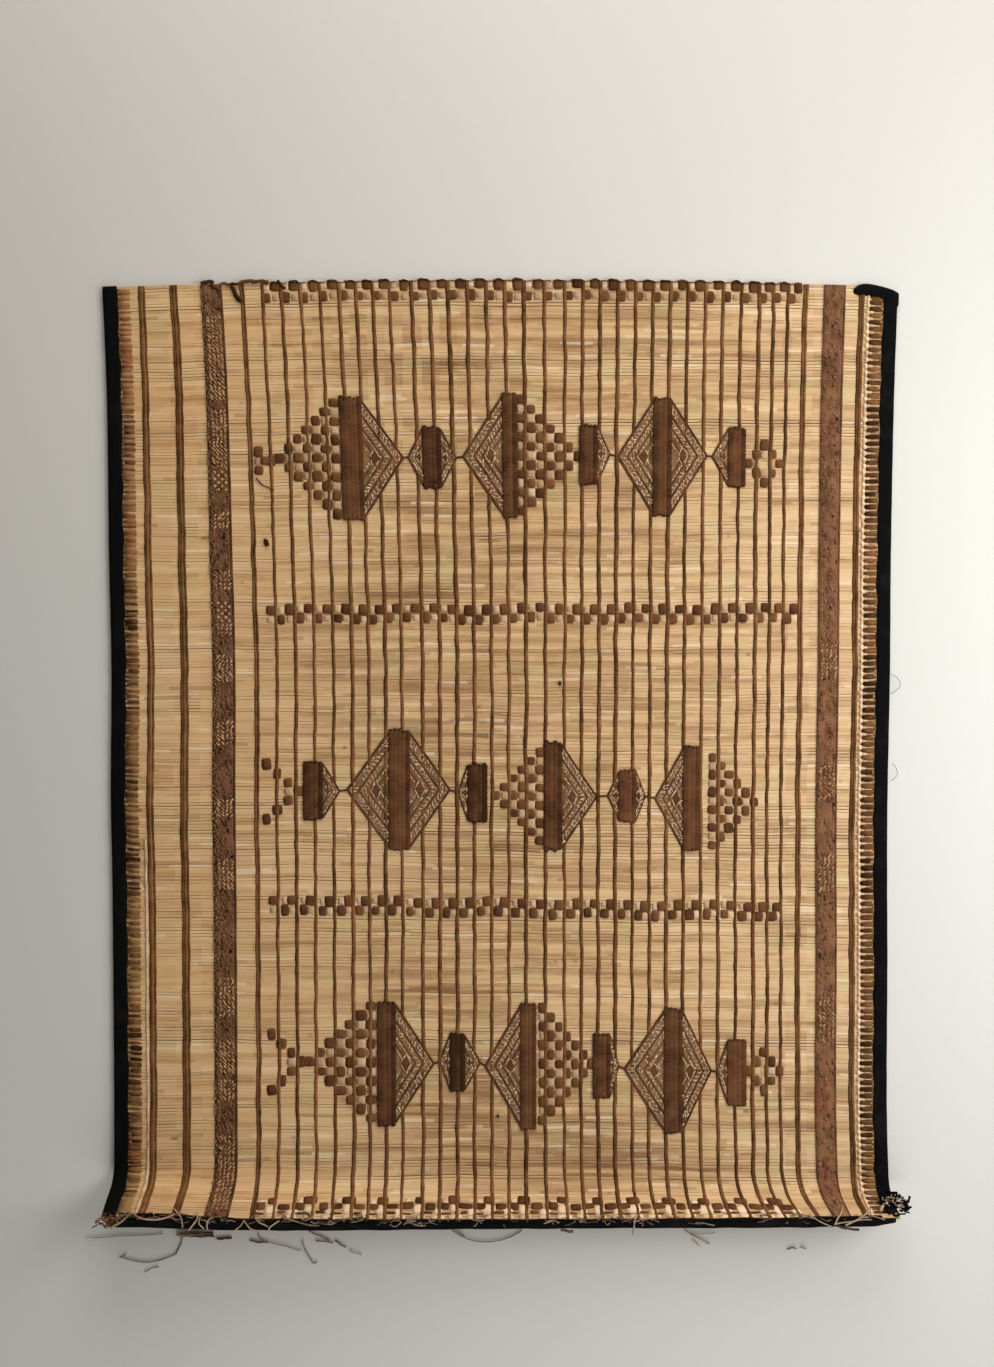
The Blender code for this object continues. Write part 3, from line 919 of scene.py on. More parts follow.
def pale_floor(name):
    """A plain pale floor with faint clouds and specks."""
    g = Shader(name)
    place = g.out("ShaderNodeTexCoord", None, None, "Object")
    cloud = g.noise(place, scale=1.3, detail=4.0)
    speck = g.noise(place, scale=60.0, detail=2.0)
    tone = 0.97 + (cloud - 0.5) * 0.05 + (speck - 0.5) * 0.02
    return g.finish(g.brighten(tuple(settings().floor_color), tone), 0.7, speck, depth=0.0004, strength=0.3)


def dry_reed(name):
    """Dry split reeds: stems in groups of a like tone, streaks, dark joints, and painted shade in the gaps
    between reeds, darkest in a few deep grooves.
    """
    g = Shader(name)
    x, y, z = g.parts(g.attribute("flat", "Vector"))
    down = y * -1.0
    reed, side, cell = g.attribute("reed"), g.attribute("side"), g.attribute("cell")
    whole_cell = g.math("FLOOR", cell)
    own = g.random(reed, 3.0, 0.0)
    near = g.random(reed, g.math("FLOOR", cell * 0.55 + own * 3.0), 31.0)
    along = g.noise(g.vector(x * 5.0, reed * 4.37, 0.0), detail=3.0, roughness=0.6)
    fine = g.noise(g.vector(x * 22.0, y * 1300.0, 1.0), detail=3.0, roughness=0.65)
    broad = g.noise(g.vector(x * 2.2, y * 3.1, 7.0), detail=2.0)
    group = g.noise(g.vector(x * 2.6, y * 52.0, 11.0), detail=3.0, roughness=0.6)
    patch = g.noise(g.vector(whole_cell * 3.7, y * 26.0, 2.0), detail=2.0)
    tint = g.noise(g.vector(whole_cell * 2.3, y * 11.0, 5.0), detail=2.0)
    tone = 0.56 + (own - 0.5) * 0.14 + (near - 0.5) * 0.18 + (along - 0.5) * 0.50 + (fine - 0.5) * 0.50
    tone = tone + (patch - 0.5) * 0.66 + (broad - 0.5) * 0.50 + (group - 0.5) * 1.06
    from_middle = g.math("ABSOLUTE", x - 0.06)
    tone = tone - g.smooth(from_middle * -1.0, -0.55, -0.10) * 0.22 - g.smooth(x, 0.25, 0.62) * 0.08
    color = g.ramp(
        tone,
        (0.0, (0.23, 0.110, 0.040)),
        (0.26, (0.44, 0.248, 0.108)),
        (0.50, tuple(settings().reed_color)),
        (0.76, (0.73, 0.495, 0.272)),
        (1.0, (0.90, 0.69, 0.43)),
    )
    # Red and olive stems, a cooler right side and a browner left one.
    color = g.mix(g.smooth(tint, 0.52, 0.66) * 0.28, color, (0.60, 0.35, 0.21, 1.0))
    color = g.mix(g.smooth(tint * -1.0, -0.46, -0.34) * 0.42, color, (0.56, 0.44, 0.20, 1.0))
    color = g.mix(g.smooth(x, 0.10, 0.60) * 0.6, color, (0.97, 1.0, 1.10, 1.0), "MULTIPLY")
    color = g.mix(g.smooth(x * -1.0, 0.20, 0.52) * 0.9, color, (0.98, 0.92, 0.84, 1.0), "MULTIPLY")
    # Painted shade in the gaps between neighbouring reeds, and a painted highlight on the edge beside a wide
    # one.
    boundary = g.math("FLOOR", reed + side * 0.5 + 0.5)
    crowd = g.smooth(g.noise(g.vector(whole_cell * 0.43, reed * 0.07, 17.0), detail=1.0), 0.48, 0.68)
    crossing = g.random(boundary, g.math("FLOOR", cell * 0.8), 22.0)
    gap = g.math("MAXIMUM", g.random(boundary, 21.0, 0.0), crossing * 0.95) ** (13.0 - crowd * 9.0)
    run = g.smooth(g.noise(g.vector(x * 4.0, boundary * 3.3, 5.0)), 0.34, 0.60)
    reach = g.smooth(g.noise(g.vector(x * 1.7, boundary * 2.7, 9.0)), 0.40, 0.52)
    deep = g.random(boundary, 44.0, 0.0) ** 6.2 * reach
    gap = g.math("MAXIMUM", gap, deep)
    edge = g.smooth(g.math("ABSOLUTE", side), 0.80 - gap * 0.40, 1.0)
    gap_shade = edge * (0.04 + g.math("MAXIMUM", gap * (0.54 + run), deep * 1.45))
    lit = g.smooth(side, 0.10, 0.45) * g.smooth(side * -1.0, -0.80, -0.55) * gap
    color = g.mix(lit * 0.55, color, (0.88, 0.68, 0.43, 1.0))
    color = g.mix(g.math("MINIMUM", gap_shade, 0.94), color, (0.115, 0.052, 0.018, 1.0))
    # Dark stems, light stems and joints, and the worn and shaded foot.
    stem = (near > 0.955) * g.smooth(along, 0.42, 0.55)
    color = g.mix(stem * 0.55, color, (0.28, 0.150, 0.056, 1.0))
    light_stem = (0.055 > near) * g.smooth(along, 0.40, 0.54)
    color = g.mix(light_stem * 0.50, color, (0.88, 0.69, 0.46, 1.0))
    knot = g.smooth(g.noise(g.vector(x * 34.0, reed * 5.3, 23.0), detail=1.0), 0.74, 0.82)
    color = g.mix(knot * 0.7, color, (0.20, 0.100, 0.040, 1.0))
    color = g.mix(g.smooth(down, 1.52, 1.62) * 0.12, color, (0.66, 0.38, 0.16, 1.0))
    shade = g.smooth(down, 1.610, 1.620) * (0.16 + knot * 0.3 + own * 0.26)
    color = g.mix(shade, color, (0.30, 0.165, 0.075, 1.0))
    height = fine * 0.5 + along * 0.4 - edge * gap * 2.0
    return g.finish(color, 0.50 + fine * 0.22, height, depth=0.0006, strength=0.7)


def get_material(name):
    """The finish of this name, made the first time that it is asked for."""
    if name not in bpy.data.materials:
        makers = {**dict.fromkeys(LEATHERS, leather), **dict.fromkeys(PALMS, split_palm)}
        makers |= {"reed_dry": dry_reed, "black_cotton": black_cotton, "pale_floor": pale_floor}
        makers[name](name)
    return bpy.data.materials[name]


# ---------------------------------------------------------------- kinds of piece


def strands(guides, name, material, slot, *replaced, leaning=True, **values):
    """Guide lines as one piece of strands, laid on the mat."""
    piece = guides.piece(name)
    grow(piece, strands_tree, get_material(material), **{"ripple": 0.0, "ripple_pitch": 1.0, **values})
    return declare(lay(piece, leaning=leaning), slot, *replaced)


def pads(guides, name, material, slot, **values):
    """Guide points as one piece of small raised squares, laid on the mat."""
    piece = guides.piece(name)
    grow(piece, pads_tree, get_material(material), **values)
    return declare(lay(piece), slot)


def sheets(parts, name, material, slot):
    """Several thin closed forms as one piece, laid on the mat."""
    piece = new_piece(name, *joined(parts))
    piece.data.materials.append(get_material(material))
    return declare(lay(piece), slot)


def cloth(name, rings, flipped, *replaced, **how):
    """A closed form of black cloth through rings of flat points, laid on the mat."""
    piece = new_piece(name, *tube(rings, flipped))
    piece.data.materials.append(get_material("black_cotton"))
    piece.data.shade_smooth()
    return declare(lay(piece, **how), "black_cloth", *replaced)


# ---------------------------------------------------------------- operators


def make_reeds():
    """The reeds, side by side down the mat, with each one's cell between the cords kept for its finish."""
    look = settings()
    pitch = MAT_LENGTH / look.reed_count
    piece = new_piece("reeds", [(0, 0, 0)])
    grow(
        piece,
        reed_rods_tree,
        get_material("reed_dry"),
        count=look.reed_count,
        pitch=pitch,
        half_length=HALF - WALL - GAP,
        thickness=REED_THICK,
        uneven=look.reed_uneven,
        stations=26,
        seed=4,
    )
    piece.data.shade_flat()
    points = points_of(piece.data)
    past_cords = np.minimum(0, points[:, 0] - CORDS[0]) + np.maximum(0, points[:, 0] - CORDS[-1])
    keep(piece, "cell", np.interp(points[:, 0], CORDS, range(len(CORDS))) + past_cords / SIDE_CELL)
    points[:, 0] = np.minimum(points[:, 0], np.maximum(0.0, CORNER_INNER - CORNER_SLOPE * points[:, 1]))
    piece.data.vertices.foreach_set("co", points.ravel())
    declare(lay(piece, leaning=False), "reed", "reed_mat")


def down_line(x, z, first=0.0, last=MAT_LENGTH, points=2):
    """A line of points straight down the mat."""
    return [(x, -(first + (last - first) * n / (points - 1)), z) for n in range(points)]


def make_lacing():
    """The cords and narrow strips down the face in two halves, their plain backs, and the two cream lines."""
    look = settings()
    pitch = MAT_LENGTH / look.reed_count
    rng = np.random.default_rng(11)
    runs = []
    for x in CORDS:
        width = look.cord_width * rng.uniform(0.88, 1.12)
        runs.append((x, width, rng.uniform(-0.22, 0.08) - 0.17 * (x + 0.35)))
    runs += STRIPS
    own = {"spacing": pitch / 2, "sides": 5, "flatness": 0.42, "wander": 0.0042, "swell": 0.60, "seed": 2}
    for name, side in (("lacing_left", -1), ("lacing_right", 1)):
        guides = Guides()
        for x, width, tone in runs:
            if side * (x - LACING_SPLIT) > 0:
                path = down_line(x, CORD_Z, 0.0, MAT_LENGTH + 0.002, 40)
                guides.line(path, width * rng.uniform(0.92, 1.08, 40), tone + rng.uniform(-0.16, 0.16, 40))
        strands(guides, name, "cord_leather", "brown_leather", ripple=0.00022, ripple_pitch=pitch, **own)
    guides = Guides()
    for x, width, tone in runs:
        guides.line(down_line(x, 0.0006, 0.002, MAT_LENGTH - 0.002), width * 0.8, tone)
    own = {"spacing": 0.02, "sides": 6, "flatness": 0.25, "wander": 0.0030, "swell": 0.2, "seed": 2}
    strands(guides, "lacing_back", "cord_leather", "brown_leather", **own)
    guides = Guides()
    for x, width, tone, start in CREAM_LINES:
        path = down_line(x, CORD_Z, start, MAT_LENGTH, 90)
        guides.line(path, width * rng.uniform(0.60, 1.25, 90), tone + rng.uniform(-0.40, 0.25, 90))
    own = {"spacing": pitch, "sides": 6, "flatness": 0.4, "wander": 0.0022, "swell": 0.7, "seed": 5}
    strands(guides, "edge_lines", "pale_palm", "reed", ripple=0.0002, ripple_pitch=pitch * 2.3, **own)


def check_cells(count):
    """A half diamond of checks beside a bar: brown cells and the pale cells between them."""
    brown, pale = [], []
    for i in range(1, count + 1):
        reach = count - i
        for j in range(-reach, reach + 1):
            if (reach - j) % 2 == 0:
                brown.append((i, j))
            elif abs(j) < reach:
                pale.append((i, j))
    return brown, pale


def plait(flecks, weave, middle, inner, start, end, rng, tone):
    """One run of light strips on a wide band, in its own weave."""
    slant = math.radians(50)
    down = start
    turns = {"falling": (-slant, -slant), "rising": (slant, slant)}
    turns |= {"chevron": (-slant, slant), "crossed": (slant, -slant)}
    while down < end:
        if weave == "checked":
            for n in range(4):
                if (n + round((down - start) / PLAIT_ROW)) % 2 == 0:
                    place = middle + inner * (n - 1.5) / 4.4
                    size = (0.0054, 0.0048, PALE_HIGH)
                    flecks.pad(place, down, PLAIT_Z, size, turn=0.5, tone=tone + rng.uniform(-0.2, 0.4))
            down += PLAIT_ROW
            continue
        for n in range(4):
            side = -1 if n < 2 else 1
            turn = turns[weave][n // 2]
            if weave == "crossed" and math.sin((down - start) * 130) * side > 0.2:
                turn = -turn
            size = (inner * rng.uniform(0.20, 0.40), rng.uniform(0.0022, 0.0034), PALE_HIGH)
            place = middle + inner * ((n - 1.5) * 0.25 + rng.uniform(-0.04, 0.04))
            drift = rng.uniform(-0.0016, 0.0016)
            own_turn = turn + rng.uniform(-0.25, 0.25)
            shade = tone + rng.uniform(-0.60, 0.35)
            flecks.pad(place, down + drift, PLAIT_Z, size, turn=own_turn, tone=shade)
        down += rng.uniform(0.0056, 0.0080)


def make_checks():
    """Brown and pale squares: half diamonds beside the bars, tails, rings and the bands across the mat."""
    rng = np.random.default_rng(23)
    brown, pale = Guides(), Guides()
    wide = settings().check_size

    def dark(x, down, share=1.0, row=wide):
        size = (wide * share * 1.06, row * 1.10, BROWN_HIGH)
        brown.pad(x, down, REED_THICK + 0.0002, size, tone=0.07 + rng.uniform(-0.28, 0.28))

    def light(x, down, share=1.0, row=wide, tone=-0.42):
        size = (wide * share * 0.94, row * 0.90, PALE_HIGH)
        pale.pad(x, down, REED_THICK, size, tone=tone + rng.uniform(-0.25, 0.25))

    for down, first, tip, count, row in CHECKED:
        start = cord_x(first)
        step = (cord_x(tip) - start) / (count - 1)
        share = abs(step) / wide * 1.04
        for cells, draw in zip(check_cells(count), (dark, light)):
            for i, j in cells:
                draw(start + step * (i - 1), down + j * row, share, row)
    for down, tip, step, count in TAILS:
        for i in range(count):
            for j in {-i, i}:
                dark(cord_x(tip + step * i), down + j * CHECK_ROW, 0.92)
        light(cord_x(tip + step), down)
        dark(cord_x(tip + 0.33), down, 0.9)
    for down, middle, reach in RINGS:
        across, along = RING_STEP
        for i in range(-reach, reach + 1):
            for j in range(-reach, reach + 1):
                x = cord_x(middle) + i * across
                if abs(i) + abs(j) == reach:
                    dark(x, down + j * along, 0.88)
                elif abs(i) + abs(j) == 1:
                    light(x, down + j * along, 0.88)
    for down, other, before, past, from_x, to_x in CHECK_BANDS:
        for n in range(-1, len(CORDS)):
            for x, row, own in ((cord_x(n + 1 + before), 0.0, 0.94), (cord_x(n + past), other, 0.88)):
                if from_x <= x <= to_x:
                    drift = 0.0011 * math.sin(x * 31 + down * 5) + 0.0008 * math.sin(x * 77)
                    dark(x, down + row + drift, own)
                    tone = -0.55 if down + row < TOP_ROWS else -0.15
                    light(x, down + other - row + drift, own * 0.80, wide * 0.80, tone)
    for n in range(0, len(CORDS), 2):
        for count, from_foot, across, along, kind, tone in FOOT_CHECKS:
            x = cord_x(n + count) + rng.uniform(-0.0015, 0.0015)
            down = MAT_LENGTH - from_foot + rng.uniform(-0.0012, 0.0012)
            guides, high, spread = (brown, BROWN_HIGH, 1.38) if kind == "brown" else (pale, PALE_HIGH, 1.0)
            size = (across * spread * rng.uniform(0.85, 1.18), along * rng.uniform(0.95, 1.30), high)
            guides.pad(x, down, REED_THICK, size, tone=tone + rng.uniform(-0.35, 0.25))
    own = {"cuts": 4, "soft": 0.12, "dome": 0.35, "uneven": 0.20, "crooked": 0.12, "seed": 7}
    pads(brown, "brown_checks", "check_leather", "brown_leather", **own)
    pads(pale, "pale_checks", "pale_palm", "reed", **own)


def make_motifs():
    """The leather bars, and the openwork halves beside them: a ground with nested strips and dashes."""
    rng = np.random.default_rng(31)
    bars, ends, strips, dashes = Guides(), Guides(), Guides(), Guides()
    grounds, cores = [], []
    last_tip = None
    for down, left, tip_left, bar_from, bar_to, right, tip_right, half, tone in MOTIFS:
        start, end = cord_x(bar_from), cord_x(bar_to)
        count = max(3, round((end - start) / BAR_STRIP))
        wide = (end - start) / count
        for n in range(count):
            x = start + (end - start) * (n + 0.5) / count
            reach = half + rng.uniform(-0.002, 0.0015)
            own = tone + (-0.14 if n == 0 else -0.24 if n == count - 1 else 0.08)
            path = down_line(x, BAR_Z, down - reach, down + reach, 3)
            bars.line(path, wide * 1.25, own + rng.uniform(-0.06, 0.06))
            for far in (-reach, reach):
                size = (wide * rng.uniform(0.9, 1.2), rng.uniform(0.005, 0.008), 0.0028)
                ends.pad(x, down + far, BAR_Z - 0.0003, size, tone=tone - 0.28)
        for kind, edge, tip in ((left, start, cord_x(tip_left)), (right, end, cord_x(tip_right))):
            if kind == "open":
                grounds.append(openwork(edge, tip - edge, down, half * 0.97, rng, strips, dashes, cores))
        if left == "open" and last_tip and abs(last_tip[1] - down) < 0.05:
            tips = ((last_tip[0] - 0.002, last_tip[1]), (cord_x(tip_left) + 0.002, down))
            strips.line([(x, -place, OPENWORK_Z) for x, place in tips], 0.0036, -0.2)
        last_tip = (cord_x(tip_right), down) if right == "open" else None
    own = {"spacing": 0.005, "sides": 8, "flatness": 0.15, "wander": 0.0006, "swell": 0.14, "seed": 3}
    own |= {"ripple": 0.0001, "ripple_pitch": 0.011}
    strands(bars, "motif_bars", "brown_leather_worn", "brown_leather", **own)
    own = {"cuts": 3, "soft": 0.2, "dome": 0.5, "uneven": 0.2, "crooked": 0.2, "seed": 9}
    pads(ends, "motif_bar_ends", "brown_leather_worn", "brown_leather", **own)
    sheets(grounds, "openwork_ground", "openwork_leather", "brown_leather")
    own = {"spacing": 0.004, "sides": 6, "flatness": 0.45, "wander": 0.0008, "swell": 0.7, "seed": 6}
    strands(strips, "openwork_strips", "brown_leather_worn", "brown_leather", **own)
    own = {"cuts": 2, "soft": 0.1, "dome": 0.4, "uneven": 0.4, "crooked": 0.35, "seed": 8}
    pads(dashes, "openwork_dashes", "pale_palm", "reed", **own)
    sheets(cores, "openwork_cores", "brown_leather_worn", "brown_leather")


def openwork(edge, reach, down, half, rng, strips, dashes, cores):
    """One triangular half of openwork, from a bar's edge to its tip. Returns its ground sheet."""
    large = half > 0.07

    def along(share, side, t):
        """A place on a smaller triangle's side: t runs from the bar to the tip."""
        return edge + reach * share * t, down + side * half * share * (1 - t)

    for share, width, tone in LARGE_LINES if large else SMALL_LINES:
        for side in (-1, 1):
            ends = [along(share, side, t) for t in (0.0, 0.5, 1.0)]
            path = [(x, -place, OPENWORK_Z) for x, place in ends]
            strips.line(path, width, tone + 0.14 + rng.uniform(-0.08, 0.08))
    for share, tilt, own_pitch in LARGE_ROWS if large else SMALL_ROWS:
        for side in (-1, 1):
            count = max(2, round(math.hypot(reach, half) * share / own_pitch))
            turn = math.atan2(side * half, reach) + tilt * side
            for n in range(count):
                if rng.uniform() < MISSING_DASHES:
                    continue
                x, place = along(share, side, (n + rng.uniform(0.3, 0.7)) / count)
                length = 0.0088 if tilt else own_pitch * rng.uniform(0.7, 1.1)
                size = (length, rng.uniform(0.0020, 0.0030), 0.0015)
                dashes.pad(x, place, OPENWORK_Z + 0.0003, size, turn=turn, tone=rng.uniform(-0.75, 0.05))
    # The core is a brown lozenge with four pale dashes round it.
    wide, tall = (0.0080, 0.0130) if large else (0.0045, 0.0085)
    middle = edge + reach * (rng.uniform(0.25, 0.33) if large else 0.28)
    rings = []
    for share, z in ((1.0, OPENWORK_Z - 0.0004), (0.8, OPENWORK_Z + 0.0012)):
        corners = ((1, 0), (0, 1), (-1, 0), (0, -1))
        rings.append([(middle + wide * share * a, -(down + tall * share * b), z) for a, b in corners])
    points, _, faces = tube(rings, True)
    cores.append((points, faces))
    for a, b in ((1, 1), (-1, 1), (1, -1), (-1, -1)):
        x, place = middle + wide * 0.62 * a, down + tall * 0.62 * b
        size = (math.hypot(wide, tall) * 1.05, 0.0022, PALE_HIGH)
        turn = math.atan2(tall * b, wide * a)
        dashes.pad(x, place, OPENWORK_Z + 0.0007, size, turn=turn, tone=-0.25)
    rows_down, columns = 12, 8
    points = []
    for u in np.linspace(0, 0.985, columns + 1):
        for v in np.linspace(-1, 1, rows_down + 1):
            points.append((edge + reach * u, -(down + v * half * (1 - u))))
    return plate(points, columns + 1, rows_down + 1, REED_THICK - 0.0002, REED_THICK + 0.0009, reach < 0)


def plate(points, columns, rows, low, high, flipped):
    """A closed thin sheet over a grid of points, as its points and faces."""
    count = len(points)
    solid = [(x, y, high) for x, y in points] + [(x, y, low) for x, y in points]
    faces = []

    def index(i, j, layer):
        return i * rows + j + layer * count

    for i in range(columns - 1):
        for j in range(rows - 1):
            corners = [(i, j), (i, j + 1), (i + 1, j + 1), (i + 1, j)]
            faces.append([index(a, b, 0) for a, b in corners])
            faces.append([index(a, b, 1) for a, b in reversed(corners)])
    rim = [(i, 0) for i in range(columns)] + [(columns - 1, j) for j in range(1, rows)]
    rim += [(i, rows - 1) for i in range(columns - 2, -1, -1)] + [(0, j) for j in range(rows - 2, 0, -1)]
    for a, b in zip(rim, rim[1:] + rim[:1]):
        faces.append([index(*a, 0), index(*b, 0), index(*b, 1), index(*a, 1)])
    if flipped:
        faces = [face[::-1] for face in faces]
    return solid, faces


def joined(parts):
    """Several forms' points and faces as one set, with no loose edges."""
    points, faces = [], []
    for own_points, own_faces in parts:
        first = len(points)
        points += own_points
        faces += [[first + n for n in face] for face in own_faces]
    return points, (), faces


def make_wide_bands():
    """The two wide bands: leather ribs between dark cords, plaited with lighter strips in changing weaves."""
    rng = np.random.default_rng(41)
    specks = Guides()
    small = {"cuts": 2, "soft": 0.1, "dome": 0.4, "uneven": 0.35, "crooked": 0.25}
    for band in WIDE_BANDS:
        name, x, width = band.name, band.x, band.width
        ribs, flecks = Guides(), Guides()
        left = name == "left"
        for side, wide in ((-1, band.left_edge), (1, band.right_edge)):
            shades = band.edge_tone + rng.uniform(-0.10, 0.10, 70)
            ribs.line(down_line(x + side * (width - wide) / 2, BAND_EDGE_Z, points=70), wide, shades)
        inner = width - band.left_edge - band.right_edge
        middle = x + (band.left_edge - band.right_edge) / 2
        for n in range(BAND_RIBS):
            place = middle - inner / 2 + inner * (n + 0.5) / BAND_RIBS
            fade = np.linspace(band.top_tone, band.foot_tone, 110)
            shades = fade + rng.uniform(-0.10, 0.10) + rng.uniform(-0.18, 0.18, 110)
            ribs.line(down_line(place, REED_THICK + 0.0006, points=110), inner / BAND_RIBS * 1.7, shades)
        for own_name, start, end, weave in BAND_SECTIONS:
            if own_name == name:
                plait(flecks, weave, middle, inner, start, end, rng, band.plait_tone)
        for down in np.arange(0.010, MAT_LENGTH - 0.012, band.speck_row):
            size = (rng.uniform(0.0016, 0.0034), rng.uniform(0.0020, 0.0042), PALE_HIGH)
            if left:
                place = x - width * rng.choice([0.47, 0.40, 0.33]) + rng.uniform(-0.001, 0.001)
                turn = rng.uniform(-0.9, 0.9)
                flecks.pad(place, down, PLAIT_Z + 0.0004, size, turn=turn, tone=rng.uniform(-0.60, -0.05))
                size = (rng.uniform(0.0030, 0.0080), rng.uniform(0.0016, 0.0026), PALE_HIGH)
                turn = rng.choice([-0.85, 0.85]) + rng.uniform(-0.25, 0.25)
                tone = rng.uniform(-0.75, -0.30)
                place = middle + inner * rng.uniform(-0.45, 0.45)
                flecks.pad(place, down, PLAIT_Z - 0.0002, size, turn=turn, tone=tone)
            elif rng.uniform() < 0.60 + 0.40 * math.sin(down * 24):
                place = middle + inner * rng.uniform(-0.42, 0.42)
                size = (rng.uniform(0.0016, 0.0028), size[1], PALE_HIGH)
                turn = rng.uniform(-0.6, 0.6)
                flecks.pad(place, down, PLAIT_Z, size, turn=turn, tone=rng.uniform(-0.70, 0.05))
            if left or rng.uniform() < 0.8:
                place = middle + inner * rng.uniform(-0.5, 0.5)
                size = (rng.uniform(0.0025, 0.0065), rng.uniform(0.0030, 0.0110), PALE_HIGH)
                drop = down + rng.uniform(-0.002, 0.002)
                shade = rng.uniform(-0.50, 0.15) if left else rng.uniform(-0.30, 0.25)
                specks.pad(place, drop, PLAIT_Z - 0.0004, size, turn=rng.uniform(-0.3, 0.3), tone=shade)
        own = {"spacing": 0.004, "sides": 6, "flatness": 0.18, "wander": 0.0010, "swell": 0.25, "seed": 12}
        own |= {"ripple": 0.00012, "ripple_pitch": 0.0083}
        strands(ribs, f"wide_band_{name}", "band_leather", "brown_leather", f"band_{name}", **own)
        pads(flecks, f"wide_band_flecks_{name}", "plait_palm", "reed", seed=13, **small)
    pads(specks, "wide_band_specks", "band_leather", "brown_leather", seed=21, **small)


def make_stitches():
    """Whip stitches between each side binding and its cream line, with pale ridges between the right ones."""
    rng = np.random.default_rng(53)
    under, over, ridges = Guides(), Guides(), Guides()
    down = 0.006
    while down < MAT_LENGTH - 0.008:
        for inner, outer, shade, fade in UNDER_STITCHES:
            size = (abs(outer - inner), UNDER_PITCH * rng.uniform(0.85, 1.1), 0.0018)
            tone = shade + rng.uniform(-0.28, 0.28) - fade * min(1.0, down / 0.7)
            under.pad((inner + outer) / 2, down, REED_THICK + 0.0001, size, tone=tone)
        down += UNDER_PITCH * rng.uniform(0.85, 1.2)
    for inner, outer, first, from_foot, pitch, thickness, rough, tone, fade, ridge in STITCHES:
        down = first
        while down < MAT_LENGTH - from_foot:
            worn = 0.18 * math.sin(down * 17 + inner * 9) + 0.14 * math.sin(down * 41)
            worn -= fade * min(1.0, down / 0.9)
            tall = thickness * rng.uniform(1 - rough, 1 + rough)
            width = abs(outer - inner) * rng.uniform(1 - rough * 0.6, 1.04)
            middle = inner + math.copysign(width / 2, inner) + rng.uniform(-0.0008, 0.0008)
            turn = rng.uniform(-0.07, 0.07)
            shade = tone + worn + rng.uniform(-0.25, 0.25)
            over.pad(middle, down, REED_THICK + 0.0003, (width, tall, 0.0024), turn=turn, tone=shade)
            step = pitch * rng.uniform(1 - rough * 0.5, 1 + rough * 0.5)
            if ridge:
                between = down + step / 2
                size = (width * rng.uniform(0.90, 1.05), ridge * rng.uniform(0.45, 0.75), 0.0022)
                ridges.pad(middle, between, REED_THICK + 0.0002, size, tone=rng.uniform(-0.90, -0.35))
                size = (rng.uniform(0.0100, 0.0170), ridge * rng.uniform(0.8, 1.15), 0.0026)
                place = inner + size[0] * 0.28
                ridges.pad(place, between, REED_THICK + 0.0003, size, tone=rng.uniform(-0.60, 0.00))
                size = (rng.uniform(0.0056, 0.0078), rng.uniform(0.0062, 0.0090), 0.0032)
                place = inner - rng.uniform(0.0004, 0.0018)
                ridges.pad(place, between, REED_THICK + 0.0006, size, tone=rng.uniform(-0.10, 0.50))
            down += step
    own = {"cuts": 3, "soft": 0.17, "dome": 0.45, "uneven": 0.12, "crooked": 0.03, "seed": 14}
    pads(under, "under_stitches", "under_leather", "brown_leather", **own)
    pads(over, "whip_stitches", "stitch_leather", "brown_leather", **own)
    pads(ridges, "stitch_ridges", "pale_palm", "reed", **own)


def make_bindings():
    """Black cloth strips folded over the sides, the foot and the top right corner, with soft wrinkles."""
    top = REED_THICK + 2 * (WALL + GAP)
    fold_sides(top)
    fold_foot(top)
    fold_corner(top)


def fold_sides(top):
    """The strips folded over both sides, with their cut edges inside."""
    for name, side, width, first, last in SIDE_FOLDS:
        rings = []
        for down in np.linspace(first, last, 240):
            wave = 0.0009 * math.sin(down * 61 + side) + 0.0006 * math.sin(down * 143)
            ring = []
            for out, high in FOLD_SECTION:
                own = width + (wave if out < -0.5 else 0)
                puff = 0.00035 * math.sin(down * 87 + out * 6) if high > 0.7 else 0
                ring.append((side * (HALF + out * own), -down, max(0.0, high * top + puff)))
            rings.append(ring)
        cloth(f"side_binding_{name}", rings, side < 0, f"binding_{name}", leaning=False, ramped=False)


def fold_foot(top):
    """The roll of cloth past the reeds at the foot, and its turned-in hem on the face."""
    rolls, hems = [], []
    left, right = -HALF + 0.014, HALF - 0.010
    for x in np.linspace(left, right, 181):
        taper = min(1.0, 0.3 + (right - x) / 0.05)
        heavy = 1.5 + 0.5 * max(0.0, -x - 0.2) + 0.10 * math.sin(x * 23)
        reach = taper * (BINDING_FOOT - GAP - 0.0045 * max(0.0, 1 - ((x - 0.13) / 0.45) ** 2))
        ring = []
        for turn in range(10):
            angle = turn / 10 * math.tau
            out = math.cos(angle) * (0.5 + 0.05 * math.sin(x * 70 + turn))
            high = math.sin(angle) * (0.5 + 0.04 * math.sin(x * 113 + 2 * turn))
            down = MAT_LENGTH + GAP + reach * (0.5 + out)
            ring.append((x, -down, REED_THICK / 2 + top * high * (heavy if high < 0 else 0.96)))
        rolls.append(ring)
        if BINDING_LEFT < x + HALF < 2 * HALF - BINDING_RIGHT:
            inner = HEM - 0.0065 * min(1.0, max(0.0, (-x - 0.45) / 0.1)) + 0.0008 * math.sin(x * 57)
            outer = MAT_LENGTH + 0.003
            hem = ((inner, 0.0), (inner + 0.001, 0.0016), (outer, 0.0020), (outer, 0.0))
            hems.append([(x, -down, REED_THICK + high) for down, high in hem])
    cloth("foot_binding", rolls, True, "binding_foot", leaning=False)
    cloth("foot_hem", hems, False, leaning=False)


